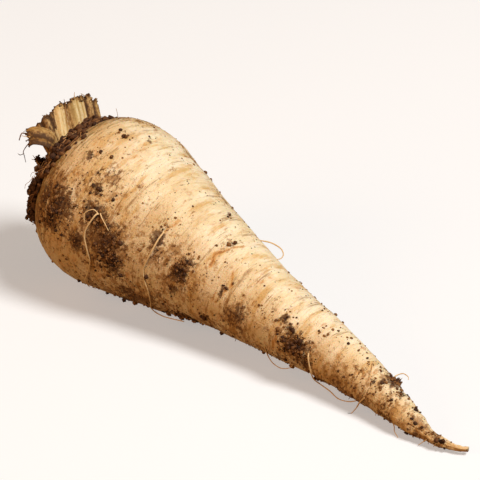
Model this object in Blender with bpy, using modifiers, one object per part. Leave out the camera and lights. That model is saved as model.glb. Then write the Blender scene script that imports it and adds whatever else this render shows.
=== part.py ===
"""A freshly dug parsnip, lying on its side.

The taproot lies along X, crown at -X and tail at +X, and dips from its broad
shoulder to its thin tail, so that it rests on its belly and on the tail's end.
A bunch of cut leaf stalks leaves the crown and leans upwards. Soil rings the
crown and clings to the skin in clods, and fine rootlets lie over the skin.

Everything is built round the root's own axis: "along" is the distance from the
widest ring towards the tail, and "around" is the angle from the top towards the
near side, -Y. An empty then carries the pieces to the part's own origin, at the
bottom centre of its box.
"""
from math import asin, ceil, cos, pi, radians, sin, sqrt, tau

import bmesh
import bpy
from mathutils import Matrix, Vector, noise

# Driving dimensions of the root, in metres and radians
SHOULDER_RADIUS = 0.0310
SHOULDER_DEPTH = 0.0229          # semi-axis of the shoulder's ellipse, along the root
CROWN_BACK = 0.0183              # the flat crown, behind the widest ring
DIP = radians(10.4)              # how far the root's axis dips towards the tail
BELLY_FLAT = 0.0004              # depth of the flat that the belly rests on
GAP = 0.0003                     # clearance between touching pieces
SIDES = 32                       # facets round the root and the soil collar
UNEVENNESS = 0.012               # how far the root strays from round, as a share

# The taper: distance from the widest ring, and radius
TAPER = (
    (0.000, 0.0310), (0.020, 0.0271), (0.040, 0.0218), (0.060, 0.0166), (0.080, 0.0132),
    (0.105, 0.0098), (0.125, 0.0068), (0.143, 0.0041), (0.153, 0.0021), (0.163, 0.0012),
)
# The tail's hook: distance from the widest ring, and sideways shift
HOOK = (
    (0.000, 0.0), (0.100, 0.0), (0.122, -0.0013), (0.142, -0.0043), (0.153, -0.0052),
    (0.163, -0.0023),
)
LENGTH = TAPER[-1][0]
RING_STEP = 0.005                # spacing of the taproot's rings
SHOULDER_RINGS = 9

# Leaf stalks: where each leaves the crown (near, up), where it ends (out, near, up),
# its width and thickness, how far it curls round (degrees), and which way its back
# faces (degrees from up towards near). All lengths in millimetres here.
LEAF_STALKS = {
    "leaf_stalk_top_right": ((-5.2, 10.6), (12.4, -8.0, 24.2), 6.2, 3.0, 40, -8),
    "leaf_stalk_top_left": ((2.2, 11.2), (12.8, 0.4, 24.4), 6.4, 3.0, 40, 4),
    "leaf_stalk_brown": ((8.2, 9.4), (13.4, 7.2, 21.6), 4.0, 2.8, 36, 25),
    "leaf_stalk_curled": ((12.4, 1.4), (12.5, 15.4, 15.4), 7.0, 2.6, 62, 64),
    "leaf_stalk_rib": ((-10.8, 8.2), (10.6, -12.6, 21.4), 2.6, 2.6, 26, -30),
    "leaf_stalk_far": ((-13.2, 3.2), (9.6, -16.2, 17.8), 3.8, 2.6, 40, -66),
    "leaf_stalk_far_low": ((-12.0, -5.4), (12.0, -13.6, 7.4), 4.4, 2.8, 40, -98),
    "leaf_stalk_near": ((10.8, -6.6), (9.0, 12.2, -4.4), 5.0, 2.8, 46, 110),
    "leaf_stalk_low_near": ((5.0, -9.4), (14.0, 6.2, 0.6), 6.0, 2.8, 46, 154),
    "leaf_stalk_low": ((-1.8, -10.2), (16.0, -1.6, 1.0), 5.6, 2.8, 46, 186),
    "leaf_stalk_low_far": ((-7.8, -9.6), (13.5, -8.6, 1.6), 4.4, 2.8, 46, 218),
    "leaf_stalk_inner": ((4.2, 3.4), (16.0, 3.0, 15.4), 6.4, 3.0, 42, 12),
    "leaf_stalk_inner_far": ((-5.0, 3.4), (16.0, -6.2, 15.0), 6.4, 3.0, 42, -14),
    "leaf_stalk_heart": ((0.0, -3.0), (18.0, -0.6, 9.6), 6.0, 3.2, 24, 176),
}
STALK_RINGS = 7
STALK_SIDES = 12
STALK_FLARE = 0.12               # how much wider a stalk is at its cut end

# The soil round the crown
COLLAR_INNER = 0.0160
COLLAR_OUTER = 0.0232
COLLAR_REACH_IN = 0.13            # how much closer it comes below the leaning stalks
COLLAR_THICKNESS = 0.0034
COLLAR_STATIONS = 6
COLLAR_CLEARANCE = 0.0006

# Soil clods: (along mm, around degrees), (length, width, height in mm)
SOIL_CLODS = {
    "soil_clod_shoulder": ((16, 66), (6.5, 4.0, 1.3)),
    "soil_clod_belly": ((24, 88), (6.0, 6.5, 1.2)),
    "soil_clod_crown": ((-1, 78), (5.0, 6.5, 1.2)),
    "soil_clod_middle": ((49, 66), (4.5, 4.0, 1.2)),
    "soil_clod_large": ((98, 80), (7.0, 5.5, 1.7)),
    "soil_clod_lower": ((51, 132), (6.5, 2.6, 1.0)),
    "soil_clod_upper": ((131, -36), (4.6, 2.6, 1.9)),
    "soil_clod_top": ((4, 8), (2.6, 2.4, 1.4)),
    "soil_clod_tail": ((157, 44), (2.6, 1.7, 1.0)),
    "soil_clod_back": ((30, -96), (6.0, 4.5, 1.2)),
    "soil_clod_back_low": ((84, -84), (5.0, 4.0, 1.1)),
}
CLOD_ROUGHNESS = 0.30

# Rootlets: the points that each lies along, (along mm, around degrees)
ROOTLETS = {
    "rootlet_shoulder": ((14, 77), (15.5, 86), (18, 96), (16.5, 108), (13, 124), (12.5, 134)),
    "rootlet_middle": ((38.5, 54), (37.5, 66), (37, 80), (38, 94), (40, 108), (39, 124), (41, 136)),
    "rootlet_short": ((24, 58), (26, 64), (27, 70)),
    "rootlet_large_clod": ((106.5, 88), (107, 100), (109, 118), (114, 132), (121, 136)),
    "rootlet_upper": ((59, -40), (62, -52), (67, -55), (71, -44)),
    "rootlet_tail": ((133, 96), (132, 112), (129, 128)),
    "rootlet_back": ((46, -78), (44, -92), (47, -106), (45, -120)),
    "rootlet_back_tail": ((112, -74), (114, -92), (111, -110)),
}
ROOTLET_RADIUS = 0.00036
ROOTLET_STEPS = 5                # straight pieces between two points of a route

MM = 0.001


def remove_everything():
    for thing in list(bpy.data.objects):
        bpy.data.objects.remove(thing, do_unlink=True)


# ---- the root's form -------------------------------------------------------

def eased(stations, at):
    """Value of a smooth curve through the stations (distance, value)."""
    last = len(stations) - 1
    if at <= stations[0][0]:
        return stations[0][1]
    if at >= stations[last][0]:
        return stations[last][1]
    i = max(k for k in range(last) if stations[k][0] <= at)

    def slope(k):
        if k == 0:
            return 0.0
        after = stations[min(k + 1, last)]
        before = stations[k - 1]
        return (after[1] - before[1]) / (after[0] - before[0])

    (x0, y0), (x1, y1) = stations[i], stations[i + 1]
    step = x1 - x0
    t = (at - x0) / step
    return ((2 * t**3 - 3 * t**2 + 1) * y0 + (t**3 - 2 * t**2 + t) * step * slope(i)
            + (3 * t**2 - 2 * t**3) * y1 + (t**3 - t**2) * step * slope(i + 1))


def round_radius(along):
    """The root's mean radius: an ellipse behind the widest ring, then the taper."""
    if along < 0:
        return SHOULDER_RADIUS * sqrt(max(0.0, 1 - (along / SHOULDER_DEPTH) ** 2))
    return eased(TAPER, along)


def radius(along, around):
    """The radius with the root's slight unevenness, which fades at both ends."""
    fade = min(1.0, (along + CROWN_BACK) / 0.012, (LENGTH - along) / 0.03)
    waves = (sin(2 * around + 55 * along) + 0.8 * sin(115 * along + cos(around))
             + 0.5 * sin(3 * around - 160 * along))
    return round_radius(along) * (1 + UNEVENNESS * max(0.0, fade) * waves)


def centre(along):
    """A point of the root's axis."""
    return Vector((along * cos(DIP), eased(HOOK, along), SHOULDER_RADIUS - along * sin(DIP)))


def directions(along):
    """The axis's direction at a point, and the near and up directions square to it."""
    step = 0.0005
    forward = (centre(along + step) - centre(along - step)).normalized()
    far = Vector((0, 0, 1)).cross(forward).normalized()
    return forward, -far, forward.cross(far)


def on_skin(along, around, height=0.0):
    """A point above the root's skin, and the way out of the skin there."""
    forward, near, up = directions(along)
    out = up * cos(around) + near * sin(around)
    step = 0.0003
    slope = (radius(along + step, around) - radius(along - step, around)) / (2 * step)
    normal = (out - forward * slope).normalized()
    return centre(along) + out * radius(along, around) + normal * height, normal


def on_crown(reach, around, height=0.0):
    """A point above the crown's face or the shoulder, `reach` from the axis."""
    flat_reach = round_radius(-CROWN_BACK)
    forward, near, up = directions(-CROWN_BACK)
    out = up * cos(around) + near * sin(around)
    if reach <= flat_reach:
        return centre(-CROWN_BACK) + out * reach - forward * height
    along = -SHOULDER_DEPTH * sqrt(max(0.0, 1 - (reach / SHOULDER_RADIUS) ** 2))
    return on_skin(along, around, height)[0]


# ---- objects and materials -------------------------------------------------

def srgb(hex_colour):
    """A linear colour from a hex one."""
    channels = [int(hex_colour[i:i + 2], 16) / 255 for i in (0, 2, 4)]
    return [c / 12.92 if c <= 0.04045 else ((c + 0.055) / 1.055) ** 2.4 for c in channels] + [1.0]


def make_material(name, hex_colour, roughness):
    material = bpy.data.materials.new(name)
    material.use_nodes = True
    shader = material.node_tree.nodes["Principled BSDF"]
    shader.inputs["Base Color"].default_value = srgb(hex_colour)
    shader.inputs["Roughness"].default_value = roughness
    shader.inputs["Metallic"].default_value = 0.0
    return material


def add_object(name, data, material, carrier, collection):
    thing = bpy.data.objects.new(name, data)
    thing.data.materials.append(material)
    thing.parent = carrier
    collection.objects.link(thing)
    return thing


def finish_mesh(bm, name, turn_outwards=True):
    """Make a bmesh a mesh: outward normals, smooth shading, sharp rims."""
    if turn_outwards:
        bmesh.ops.recalc_face_normals(bm, faces=bm.faces)
    mesh = bpy.data.meshes.new(name)
    bm.to_mesh(mesh)
    bm.free()
    mesh.shade_smooth()
    mesh.set_sharp_from_angle(angle=radians(50))
    return mesh


# ---- the taproot -----------------------------------------------------------

def turned_profile():
    """Stations (along) of the root's profile, crown's rim to tail."""
    behind = [-SHOULDER_DEPTH * sin(k / SHOULDER_RINGS * asin(CROWN_BACK / SHOULDER_DEPTH))
              for k in range(SHOULDER_RINGS, 0, -1)]
    count = ceil(LENGTH / RING_STEP)
    return behind + [LENGTH * k / count for k in range(count + 1)]


def make_taproot():
    """Turn the profile about Z, then carry each point onto the root's own axis."""
    stations = turned_profile()
    outline = [(0.0, stations[0])] + [(round_radius(a), a) for a in stations] + [(0.0, LENGTH)]
    profile = bpy.data.meshes.new("taproot_profile")
    profile.from_pydata([(r, 0, -a) for r, a in outline],
                        [(k, k + 1) for k in range(len(outline) - 1)], [])
    turned = bpy.data.objects.new("taproot_turned", profile)
    bpy.context.scene.collection.objects.link(turned)
    screw = turned.modifiers.new("turn", 'SCREW')
    screw.steps = screw.render_steps = SIDES
    screw.use_merge_vertices = True
    screw.merge_threshold = 0.000001
    graph = bpy.context.evaluated_depsgraph_get()
    mesh = bpy.data.meshes.new_from_object(turned.evaluated_get(graph))
    bpy.data.objects.remove(turned)

    bm = bmesh.new()
    bm.from_mesh(mesh)
    bmesh.ops.remove_doubles(bm, verts=bm.verts, dist=0.000001)
    for vert in bm.verts:
        along = -vert.co.z
        reach = Vector((vert.co.x, vert.co.y)).length
        if reach < 0.000001:
            vert.co = centre(along)
            continue
        around = Vector((1, 0)).angle_signed(Vector((vert.co.x, vert.co.y)))
        vert.co = on_skin(along, around)[0]
    return bm


def cut_belly_flat(bm):
    """Shave the belly to the level that the part rests on, and return that level."""
    level = min(vert.co.z for vert in bm.verts) + BELLY_FLAT
    cut = bmesh.ops.bisect_plane(bm, geom=bm.verts[:] + bm.edges[:] + bm.faces[:],
                                 plane_co=(0, 0, level), plane_no=(0, 0, -1),
                                 clear_outer=True, dist=0.000001)
    rim = [item for item in cut["geom_cut"] if isinstance(item, bmesh.types.BMEdge)]
    bmesh.ops.holes_fill(bm, edges=rim, sides=0)
    return level


# ---- the leaf stalks -------------------------------------------------------

def crescent(width, thickness, curl):
    """A stalk's cut outline: a strip bent round by the curl, with a fluted back."""
    half = radians(curl)
    bend = width / (2 * sin(half))
    outline = []
    for k in range(STALK_SIDES):
        turn = tau * k / STALK_SIDES
        angle = half * cos(turn)
        flute = 1 + 0.16 * cos(4 * turn)
        reach = bend + thickness / 2 * sin(turn) * flute
        outline.append((reach * sin(angle), reach * cos(angle) - bend))
    return outline


def stalk_frames(root, tip, facing):
    """Frames along a stalk that leaves the crown square to it and bends to its tip."""
    forward, near, up = directions(-CROWN_BACK)
    face = centre(-CROWN_BACK)

    def crown_point(out, to_near, to_up):
        return face - forward * (out * MM) + near * (to_near * MM) + up * (to_up * MM)

    start = crown_point(GAP / MM, *root)
    end = crown_point(*tip)
    bow = start - forward * ((end - start).length * 0.42)
    back = up * cos(radians(facing)) + near * sin(radians(facing))
    frames = []
    for k in range(STALK_RINGS):
        t = k / (STALK_RINGS - 1)
        point = start * (1 - t) ** 2 + bow * (2 * t * (1 - t)) + end * t**2
        way = ((bow - start) * (1 - t) + (end - bow) * t).normalized()
        outward = (back - way * back.dot(way)).normalized()
        sideways = outward.cross(way)
        turn = Matrix((sideways, outward, way)).transposed().to_4x4()
        size = 1 + STALK_FLARE * t
        frames.append(Matrix.Translation(point) @ turn @ Matrix.Scale(size, 4))
    return frames


def make_stalk(name, root, tip, width, thickness, curl, facing):
    """Draw the outline at the crown and extrude it from frame to frame."""
    frames = stalk_frames(root, tip, facing)
    bm = bmesh.new()
    corners = [frames[0] @ Vector((x * MM, y * MM, 0)) for x, y in crescent(width, thickness, curl)]
    cap = bm.faces.new([bm.verts.new(corner) for corner in corners])
    for k in range(STALK_RINGS - 1):
        made = bmesh.ops.extrude_face_region(bm, geom=[cap])["geom"]
        if k > 0:
            bmesh.ops.delete(bm, geom=[cap], context='FACES_ONLY')
        cap = next(item for item in made if isinstance(item, bmesh.types.BMFace))
        bmesh.ops.transform(bm, matrix=frames[k + 1] @ frames[k].inverted(), verts=cap.verts)
    return finish_mesh(bm, name)


# ---- the soil --------------------------------------------------------------

def make_collar():
    """A crumbly band of soil: a closed section at each angle, bridged to the next."""
    bm = bmesh.new()
    sections = []
    for k in range(SIDES):
        around = tau * k / SIDES
        lumps = noise.noise(Vector((cos(around), sin(around), 0)) * 2.6)
        inner = COLLAR_INNER * (1 - COLLAR_REACH_IN * max(0.0, -cos(around)) ** 2)
        outer = COLLAR_OUTER * (1 + 0.05 * lumps)
        reaches = [inner + (outer - inner) * j / (COLLAR_STATIONS - 1) for j in range(COLLAR_STATIONS)]
        below = [on_crown(reach, around, COLLAR_CLEARANCE) for reach in reaches]
        above = []
        for j, reach in enumerate(reaches):
            crest = sin(pi * (0.14 + 0.72 * j / (COLLAR_STATIONS - 1)))
            crumb = noise.noise(Vector((reach * 190, cos(around) * 3.1, sin(around) * 3.1)))
            height = COLLAR_THICKNESS * crest * (1 + 0.45 * crumb)
            above.append(on_crown(reach, around, COLLAR_CLEARANCE + height))
        loop = [bm.verts.new(point) for point in below + above[::-1]]
        sections.append([bm.edges.new((loop[j - 1], loop[j])) for j in range(len(loop))])
    for k in range(SIDES):
        bmesh.ops.bridge_loops(bm, edges=sections[k - 1] + sections[k])
    return finish_mesh(bm, "soil_collar")


def make_clod(name, place, size, seed):
    """A flattened lump with a rough top, bent to lie on the skin."""
    along, around = place[0] * MM, radians(place[1])
    length, width, height = (value * MM for value in size)
    bm = bmesh.new()
    bmesh.ops.create_icosphere(bm, subdivisions=3, radius=1.0)
    for vert in bm.verts:
        swell = 1 + CLOD_ROUGHNESS * noise.noise(vert.co * 1.7 + Vector((seed * 7.3, 0, 0)))
        x, y, z = vert.co * swell
        level = GAP + 0.0001 + height * max(0.0, z + 0.45)
        turn = around - y * width / radius(along, around)
        vert.co = on_skin(along + x * length, turn, level)[0]
    return finish_mesh(bm, name, turn_outwards=False)


# ---- the rootlets ----------------------------------------------------------

def smooth_route(points):
    """A route through the points, along and around, with even steps between them."""
    route = []
    for k in range(len(points) - 1):
        before, here = points[max(k - 1, 0)], points[k]
        there, after = points[k + 1], points[min(k + 2, len(points) - 1)]
        for j in range(ROOTLET_STEPS):
            t = j / ROOTLET_STEPS
            route.append([
                0.5 * (2 * q + (r - p) * t + (2 * p - 5 * q + 4 * r - s) * t**2
                       + (3 * q - p - 3 * r + s) * t**3)
                for p, q, r, s in zip(before, here, there, after)])
    return route + [points[-1]]


def make_rootlet(name, points):
    """A tube just clear of the skin."""
    curve = bpy.data.curves.new(name, 'CURVE')
    curve.dimensions = '3D'
    curve.bevel_depth = ROOTLET_RADIUS
    curve.bevel_resolution = 1
    curve.use_fill_caps = True
    route = smooth_route(points)
    spline = curve.splines.new('POLY')
    spline.points.add(len(route) - 1)
    for point, (along, around) in zip(spline.points, route):
        spot = on_skin(along * MM, radians(around), GAP + ROOTLET_RADIUS + 0.0001)[0]
        point.co = (*spot, 1.0)
    return curve


# ---- the parsnip -----------------------------------------------------------

def lowest_and_highest(things):
    """The corners of the box round the pieces, as they are evaluated."""
    graph = bpy.context.evaluated_depsgraph_get()
    spots = []
    for thing in things:
        shown = thing.evaluated_get(graph)
        mesh = shown.to_mesh()
        spots += [thing.matrix_world @ vert.co for vert in mesh.vertices]
        shown.to_mesh_clear()
    lowest = Vector([min(spot[i] for spot in spots) for i in range(3)])
    highest = Vector([max(spot[i] for spot in spots) for i in range(3)])
    return lowest, highest


def main():
    remove_everything()
    collection = bpy.data.collections.new("parsnip")
    bpy.context.scene.collection.children.link(collection)
    carrier = bpy.data.objects.new("parsnip", None)
    collection.objects.link(carrier)

    skin = make_material("parsnip_skin", "DDBB88", 0.55)
    stalk = make_material("cut_leaf_stalk", "A08350", 0.75)
    soil = make_material("garden_soil", "3E2A1A", 0.95)
    rootlet = make_material("rootlet_fibre", "D9BC8C", 0.65)

    bm = make_taproot()
    cut_belly_flat(bm)
    add_object("taproot", finish_mesh(bm, "taproot"), skin, carrier, collection)
    for name, shape in LEAF_STALKS.items():
        add_object(name, make_stalk(name, *shape), stalk, carrier, collection)
    add_object("soil_collar", make_collar(), soil, carrier, collection)
    for seed, (name, (place, size)) in enumerate(SOIL_CLODS.items()):
        add_object(name, make_clod(name, place, size, seed), soil, carrier, collection)
    for name, points in ROOTLETS.items():
        add_object(name, make_rootlet(name, points), rootlet, carrier, collection)

    pieces = [thing for thing in collection.objects if thing.type != 'EMPTY']
    lowest, highest = lowest_and_highest(pieces)
    carrier.location = (-(lowest.x + highest.x) / 2, -(lowest.y + highest.y) / 2, -lowest.z)
    bpy.context.view_layer.update()
    size = (highest - lowest) / MM
    print("parsnip: %d pieces, %.1f x %.1f x %.1f mm" % (len(pieces), *size))
    print("moved by", [round(value / MM, 3) for value in carrier.location])


main()
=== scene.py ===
# %% [markdown]
# # A freshly dug parsnip, lying on its side
# The frame holds the parsnip as plain solids: a taproot, cut leaf stalks, a ring of soil
# round the crown, soil clods and rootlets. This lesson gives each of them its real
# surface. It goes from the whole to the small: the root's form, the stage, the root's
# skin, the cut stalks, the soil, and last the rootlets and hairs.

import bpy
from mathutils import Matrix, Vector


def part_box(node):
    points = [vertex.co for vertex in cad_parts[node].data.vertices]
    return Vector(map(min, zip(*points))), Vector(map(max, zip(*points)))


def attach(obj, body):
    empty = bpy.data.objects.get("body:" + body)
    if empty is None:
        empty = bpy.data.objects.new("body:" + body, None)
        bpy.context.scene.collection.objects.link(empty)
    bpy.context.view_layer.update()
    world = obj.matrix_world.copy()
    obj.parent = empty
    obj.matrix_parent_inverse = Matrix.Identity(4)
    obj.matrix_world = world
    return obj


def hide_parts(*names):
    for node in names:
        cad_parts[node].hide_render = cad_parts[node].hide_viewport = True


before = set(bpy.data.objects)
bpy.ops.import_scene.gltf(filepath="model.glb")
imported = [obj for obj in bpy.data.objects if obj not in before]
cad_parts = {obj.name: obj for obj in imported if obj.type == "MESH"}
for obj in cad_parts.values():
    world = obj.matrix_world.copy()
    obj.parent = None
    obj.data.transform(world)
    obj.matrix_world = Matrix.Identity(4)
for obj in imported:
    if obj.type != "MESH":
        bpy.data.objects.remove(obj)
print("frame nodes:", len(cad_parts))

# %% The modules and the frame's box
from functools import lru_cache
from math import atan2, ceil, cos, exp, pi, radians, sin, sqrt, tau
from random import Random

import bmesh
import bpy
from mathutils import Matrix, Vector, noise

MM = 0.001
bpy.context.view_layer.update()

# %% [markdown]
# ## The root's form
# A parsnip is a turned shape gone a little wrong: a broad shoulder, a long taper, and a
# thin tail that hooks aside. It could be sculpted, but soil, rootlets and skin must all
# lie on it, so a formula is handier. The scene repeats the frame's own dimensions and
# describes every spot by two numbers: `along`, the distance from the widest ring towards
# the tail, and `around`, the angle from the top towards the near side. One function then
# finds that spot in space.

# %% The driving dimensions, in metres and radians
SHOULDER_RADIUS = 0.0310
SHOULDER_DEPTH = 0.0229          # semi-axis of the shoulder's ellipse, along the root
CROWN_BACK = 0.0183              # the flat crown, behind the widest ring
DIP = radians(10.4)              # how far the root's axis dips towards the tail
TAPER = (
    (0.000, 0.0310), (0.020, 0.0271), (0.040, 0.0218), (0.060, 0.0166), (0.080, 0.0132),
    (0.105, 0.0098), (0.125, 0.0068), (0.143, 0.0041), (0.153, 0.0021), (0.163, 0.0012),
    (0.165, 0.0012),
)                                # distance from the widest ring, and radius
HOOK = (
    (0.000, 0.0), (0.100, 0.0), (0.122, -0.0013), (0.142, -0.0043), (0.153, -0.0052),
    (0.163, -0.0023), (0.165, -0.0008),
)                                # distance from the widest ring, and sideways shift
LENGTH = TAPER[-1][0]
FRAME_LENGTH = 0.163             # where the frame's plain tail ends
print("form: %.0f mm long, %.0f mm across" % (LENGTH / MM + CROWN_BACK / MM, 2 * SHOULDER_RADIUS / MM))


# %% A smooth curve through stations
def eased(stations, at):
    """Value of a smooth curve through the stations (distance, value)."""
    last = len(stations) - 1
    if at <= stations[0][0]:
        return stations[0][1]
    if at >= stations[last][0]:
        return stations[last][1]
    i = max(k for k in range(last) if stations[k][0] <= at)

    def slope(k):
        if k == 0:
            return 0.0
        after, before = stations[min(k + 1, last)], stations[k - 1]
        return (after[1] - before[1]) / (after[0] - before[0])

    (x0, y0), (x1, y1) = stations[i], stations[i + 1]
    step = x1 - x0
    t = (at - x0) / step
    return ((2 * t**3 - 3 * t**2 + 1) * y0 + (t**3 - 2 * t**2 + t) * step * slope(i)
            + (3 * t**2 - 2 * t**3) * y1 + (t**3 - t**2) * step * slope(i + 1))


print("radius half way down: %.1f mm" % (eased(TAPER, LENGTH / 2) / MM))

# %% The radius
UNEVENNESS = 0.012               # how far the root strays from round, as a share
RIM_FADE = 0.012                 # the unevenness dies out over this length at the crown
TAIL_FADE = 0.03                 # and over this one at the tail


def ramp(value, start, full):
    """0 up to start, 1 from full on, and straight between them."""
    return min(1.0, max(0.0, (value - start) / (full - start)))


@lru_cache(maxsize=None)
def round_radius(along):
    """The root's mean radius: an ellipse behind the widest ring, then the taper."""
    if along < 0:
        return SHOULDER_RADIUS * sqrt(max(0.0, 1 - (along / SHOULDER_DEPTH) ** 2))
    return eased(TAPER, along)


def radius(along, around):
    """The radius with the root's slight unevenness, which fades at both ends."""
    fade = min(1.0, (along + CROWN_BACK) / RIM_FADE, (LENGTH - along) / TAIL_FADE)
    waves = (sin(2 * around + 55 * along) + 0.8 * sin(115 * along + cos(around))
             + 0.5 * sin(3 * around - 160 * along))
    return round_radius(along) * (1 + UNEVENNESS * max(0.0, fade) * waves)


print("radius of the crown's face: %.1f mm" % (round_radius(-CROWN_BACK) / MM))

# %% The axis
UPTURN = 0.8 * MM                # how far the tip turns up, over the tail's last part
UPTURN_START = 0.158
UPTURN_LENGTH = 0.007
AXIS_STEP = 0.0005               # half the span over which the axis's direction is taken


def centre(along):
    """A point of the root's axis, before it is carried to its place in the frame."""
    upturn = UPTURN * max(0.0, (along - UPTURN_START) / UPTURN_LENGTH) ** 2
    return Vector((along * cos(DIP), eased(HOOK, along), SHOULDER_RADIUS - along * sin(DIP) + upturn))


@lru_cache(maxsize=None)
def axis_at(along):
    """The axis's point and the forward, near and up directions there."""
    forward = (centre(along + AXIS_STEP) - centre(along - AXIS_STEP)).normalized()
    far = Vector((0, 0, 1)).cross(forward).normalized()
    return centre(along), forward, -far, forward.cross(far)


print("the axis drops %.1f mm to the tip" % ((SHOULDER_RADIUS - centre(LENGTH).z) / MM))

# %% Where the frame puts the root
FORM_SIDES = 32
FORM_RINGS = 36


def bare_point(along, around):
    """A point of the form before it is carried to its place in the frame."""
    middle, _, near, up = axis_at(along)
    return middle + (up * cos(around) + near * sin(around)) * radius(along, around)


bare = [bare_point(along, tau * k / FORM_SIDES)
        for along in [-CROWN_BACK] + [FRAME_LENGTH * j / FORM_RINGS for j in range(FORM_RINGS + 1)]
        for k in range(FORM_SIDES)]
lowest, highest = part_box("taproot")
ORIGIN = Vector((
    (lowest.x + highest.x) / 2 - (min(p.x for p in bare) + max(p.x for p in bare)) / 2,
    (lowest.y + highest.y) / 2 - (min(p.y for p in bare) + max(p.y for p in bare)) / 2,
    highest.z - max(p.z for p in bare),
))
print("the root's axis starts at, mm:", [round(value / MM, 2) for value in ORIGIN])

# %% From along and around to a point, and back
SLOPE_STEP = 0.0003              # half the span over which the surface's slope is taken


def on_form(along, around, height=0.0):
    """A point above the smooth form in the frame, and the way out of it there."""
    middle, forward, near, up = axis_at(along)
    out = up * cos(around) + near * sin(around)
    rise = radius(along + SLOPE_STEP, around) - radius(along - SLOPE_STEP, around)
    normal = (out - forward * (rise / (2 * SLOPE_STEP))).normalized()
    return ORIGIN + middle + out * radius(along, around) + normal * height, normal


def spot_of(point):
    """The along and around of a point near the root: the other way round."""
    along = (point.x - ORIGIN.x) / cos(DIP)
    for _ in range(4):
        middle, forward, near, up = axis_at(along)
        reach = point - ORIGIN - middle
        along += reach.dot(forward)
    return along, atan2(reach.dot(near), reach.dot(up))


print("top of the widest ring, mm:", [round(value / MM, 1) for value in on_form(0.0, 0.0)[0]])

# %% [markdown]
# ## Small helpers
# Each piece needs a colour, a material and an object. A colour is written as it is read
# off a screen, as an sRGB hex value, and one function turns it into the linear values that
# shaders need. One more adds a node with its settings and links, which keeps a long
# material short and shows its chain of nodes in the order in which they work.


# %% Colours and nodes
def srgb(hex_colour):
    """A linear colour from an sRGB hex one."""
    channels = [int(hex_colour[i:i + 2], 16) / 255 for i in (0, 2, 4)]
    return [c / 12.92 if c <= 0.04045 else ((c + 0.055) / 1.055) ** 2.4 for c in channels] + [1.0]


def add_node(tree, kind, sockets=None, stops=(), **settings):
    """Add a shader node. Sockets take a value or another node's output; a colour ramp
    takes its stops, (position, hex colour)."""
    node = tree.nodes.new("ShaderNode" + kind)
    for name, value in settings.items():
        setattr(node, name, value)
    for name, value in (sockets or {}).items():
        if isinstance(value, bpy.types.NodeSocket):
            tree.links.new(value, node.inputs[name])
        else:
            node.inputs[name].default_value = value
    for k, (position, hex_colour) in enumerate(stops):
        elements = node.color_ramp.elements
        stop = elements[k] if k < 2 else elements.new(position)
        stop.position, stop.color = position, srgb(hex_colour)
    return node


print("clean skin's colour, linear:", [round(value, 3) for value in srgb("EEDCB6")])


# %% Materials and pieces
def new_material(name, **sockets):
    """A material, its node tree and its shader, with the shader's constant values."""
    material = bpy.data.materials.new(name)
    material.use_nodes = True
    shader = material.node_tree.nodes["Principled BSDF"]
    for socket, value in sockets.items():
        shader.inputs[socket.replace("_", " ")].default_value = value
    return material, material.node_tree, shader


def add_piece(name, bm, material):
    """Make a bmesh a smooth-shaded object that carries the material."""
    mesh = bpy.data.meshes.new(name)
    bm.to_mesh(mesh)
    bm.free()
    mesh.shade_smooth()
    mesh.materials.append(material)
    piece = bpy.data.objects.new(name, mesh)
    bpy.context.scene.collection.objects.link(piece)
    return piece


print("helpers are ready")

# %% [markdown]
# ## The stage
# A studio table is a plain pale sheet. This floor is hidden from the diffuse bounces,
# because a floor this pale would throw light up under the root and flatten the form. A
# pale globe stands round it all, turned inside out, which only the camera sees: it fills
# the view where the floor ends and lights nothing. One broad soft lamp stands high on the
# tail's side, and a large dim warm one and a warm surround fill the shade, as a room with
# wooden fittings would. The camera is a long lens, which looks down on the root from its
# near side with the crown at the upper left.

# %% Floor
FLOOR_SIZE = 12.0
bm = bmesh.new()
bmesh.ops.create_grid(bm, x_segments=1, y_segments=1, size=FLOOR_SIZE / 2)
paper, tree, shader = new_material("matt_pale_paper", Roughness=0.9, Base_Color=srgb("C8CCD2"),
                                   Emission_Color=srgb("FFFFFF"), Emission_Strength=0.36)
floor = add_piece("floor", bm, paper)
floor.visible_diffuse = False
floor.visible_glossy = False
print("floor: %.0f m square" % FLOOR_SIZE)

# %% Backdrop
BACKDROP_RADIUS = 0.49 * FLOOR_SIZE
bm = bmesh.new()
bmesh.ops.create_uvsphere(bm, u_segments=64, v_segments=32, radius=BACKDROP_RADIUS)
bmesh.ops.reverse_faces(bm, faces=bm.faces)
cloth, tree, shader = new_material("pale_backdrop_cloth", Roughness=1.0, Base_Color=srgb("000000"),
                                   Specular_IOR_Level=0.0, Emission_Color=srgb("F2EEEB"),
                                   Emission_Strength=0.75)
backdrop = add_piece("backdrop", bm, cloth)
for ray in ("diffuse", "glossy", "transmission", "volume_scatter", "shadow"):
    setattr(backdrop, "visible_" + ray, False)
print("backdrop: %.1f m in radius" % BACKDROP_RADIUS)

# %% Camera
CAMERA_AZIMUTH = radians(46.4)
CAMERA_ELEVATION = radians(28)
CAMERA_DISTANCE = 0.8
LENS_MM = 166.6
SENSOR_MM = 36.0
AIM_RIGHT = 0.0567               # how far the aim turns right and up of the crown end
AIM_UP = 0.0173
back = Vector((sin(CAMERA_AZIMUTH) * cos(CAMERA_ELEVATION),
               -cos(CAMERA_AZIMUTH) * cos(CAMERA_ELEVATION), sin(CAMERA_ELEVATION)))
right = Vector((cos(CAMERA_AZIMUTH), sin(CAMERA_AZIMUTH), 0))
above = back.cross(right)
aim = (-back + right * AIM_RIGHT + above * AIM_UP).normalized()
level = above.cross(-aim).normalized()
camera = bpy.data.objects.new("camera", bpy.data.cameras.new("camera"))
bpy.context.scene.collection.objects.link(camera)
bpy.context.scene.camera = camera
camera.data.lens = LENS_MM
camera.data.sensor_width = SENSOR_MM
camera.data.clip_start = 0.01
camera.location = ORIGIN + back * CAMERA_DISTANCE
camera.rotation_mode = 'QUATERNION'
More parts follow.
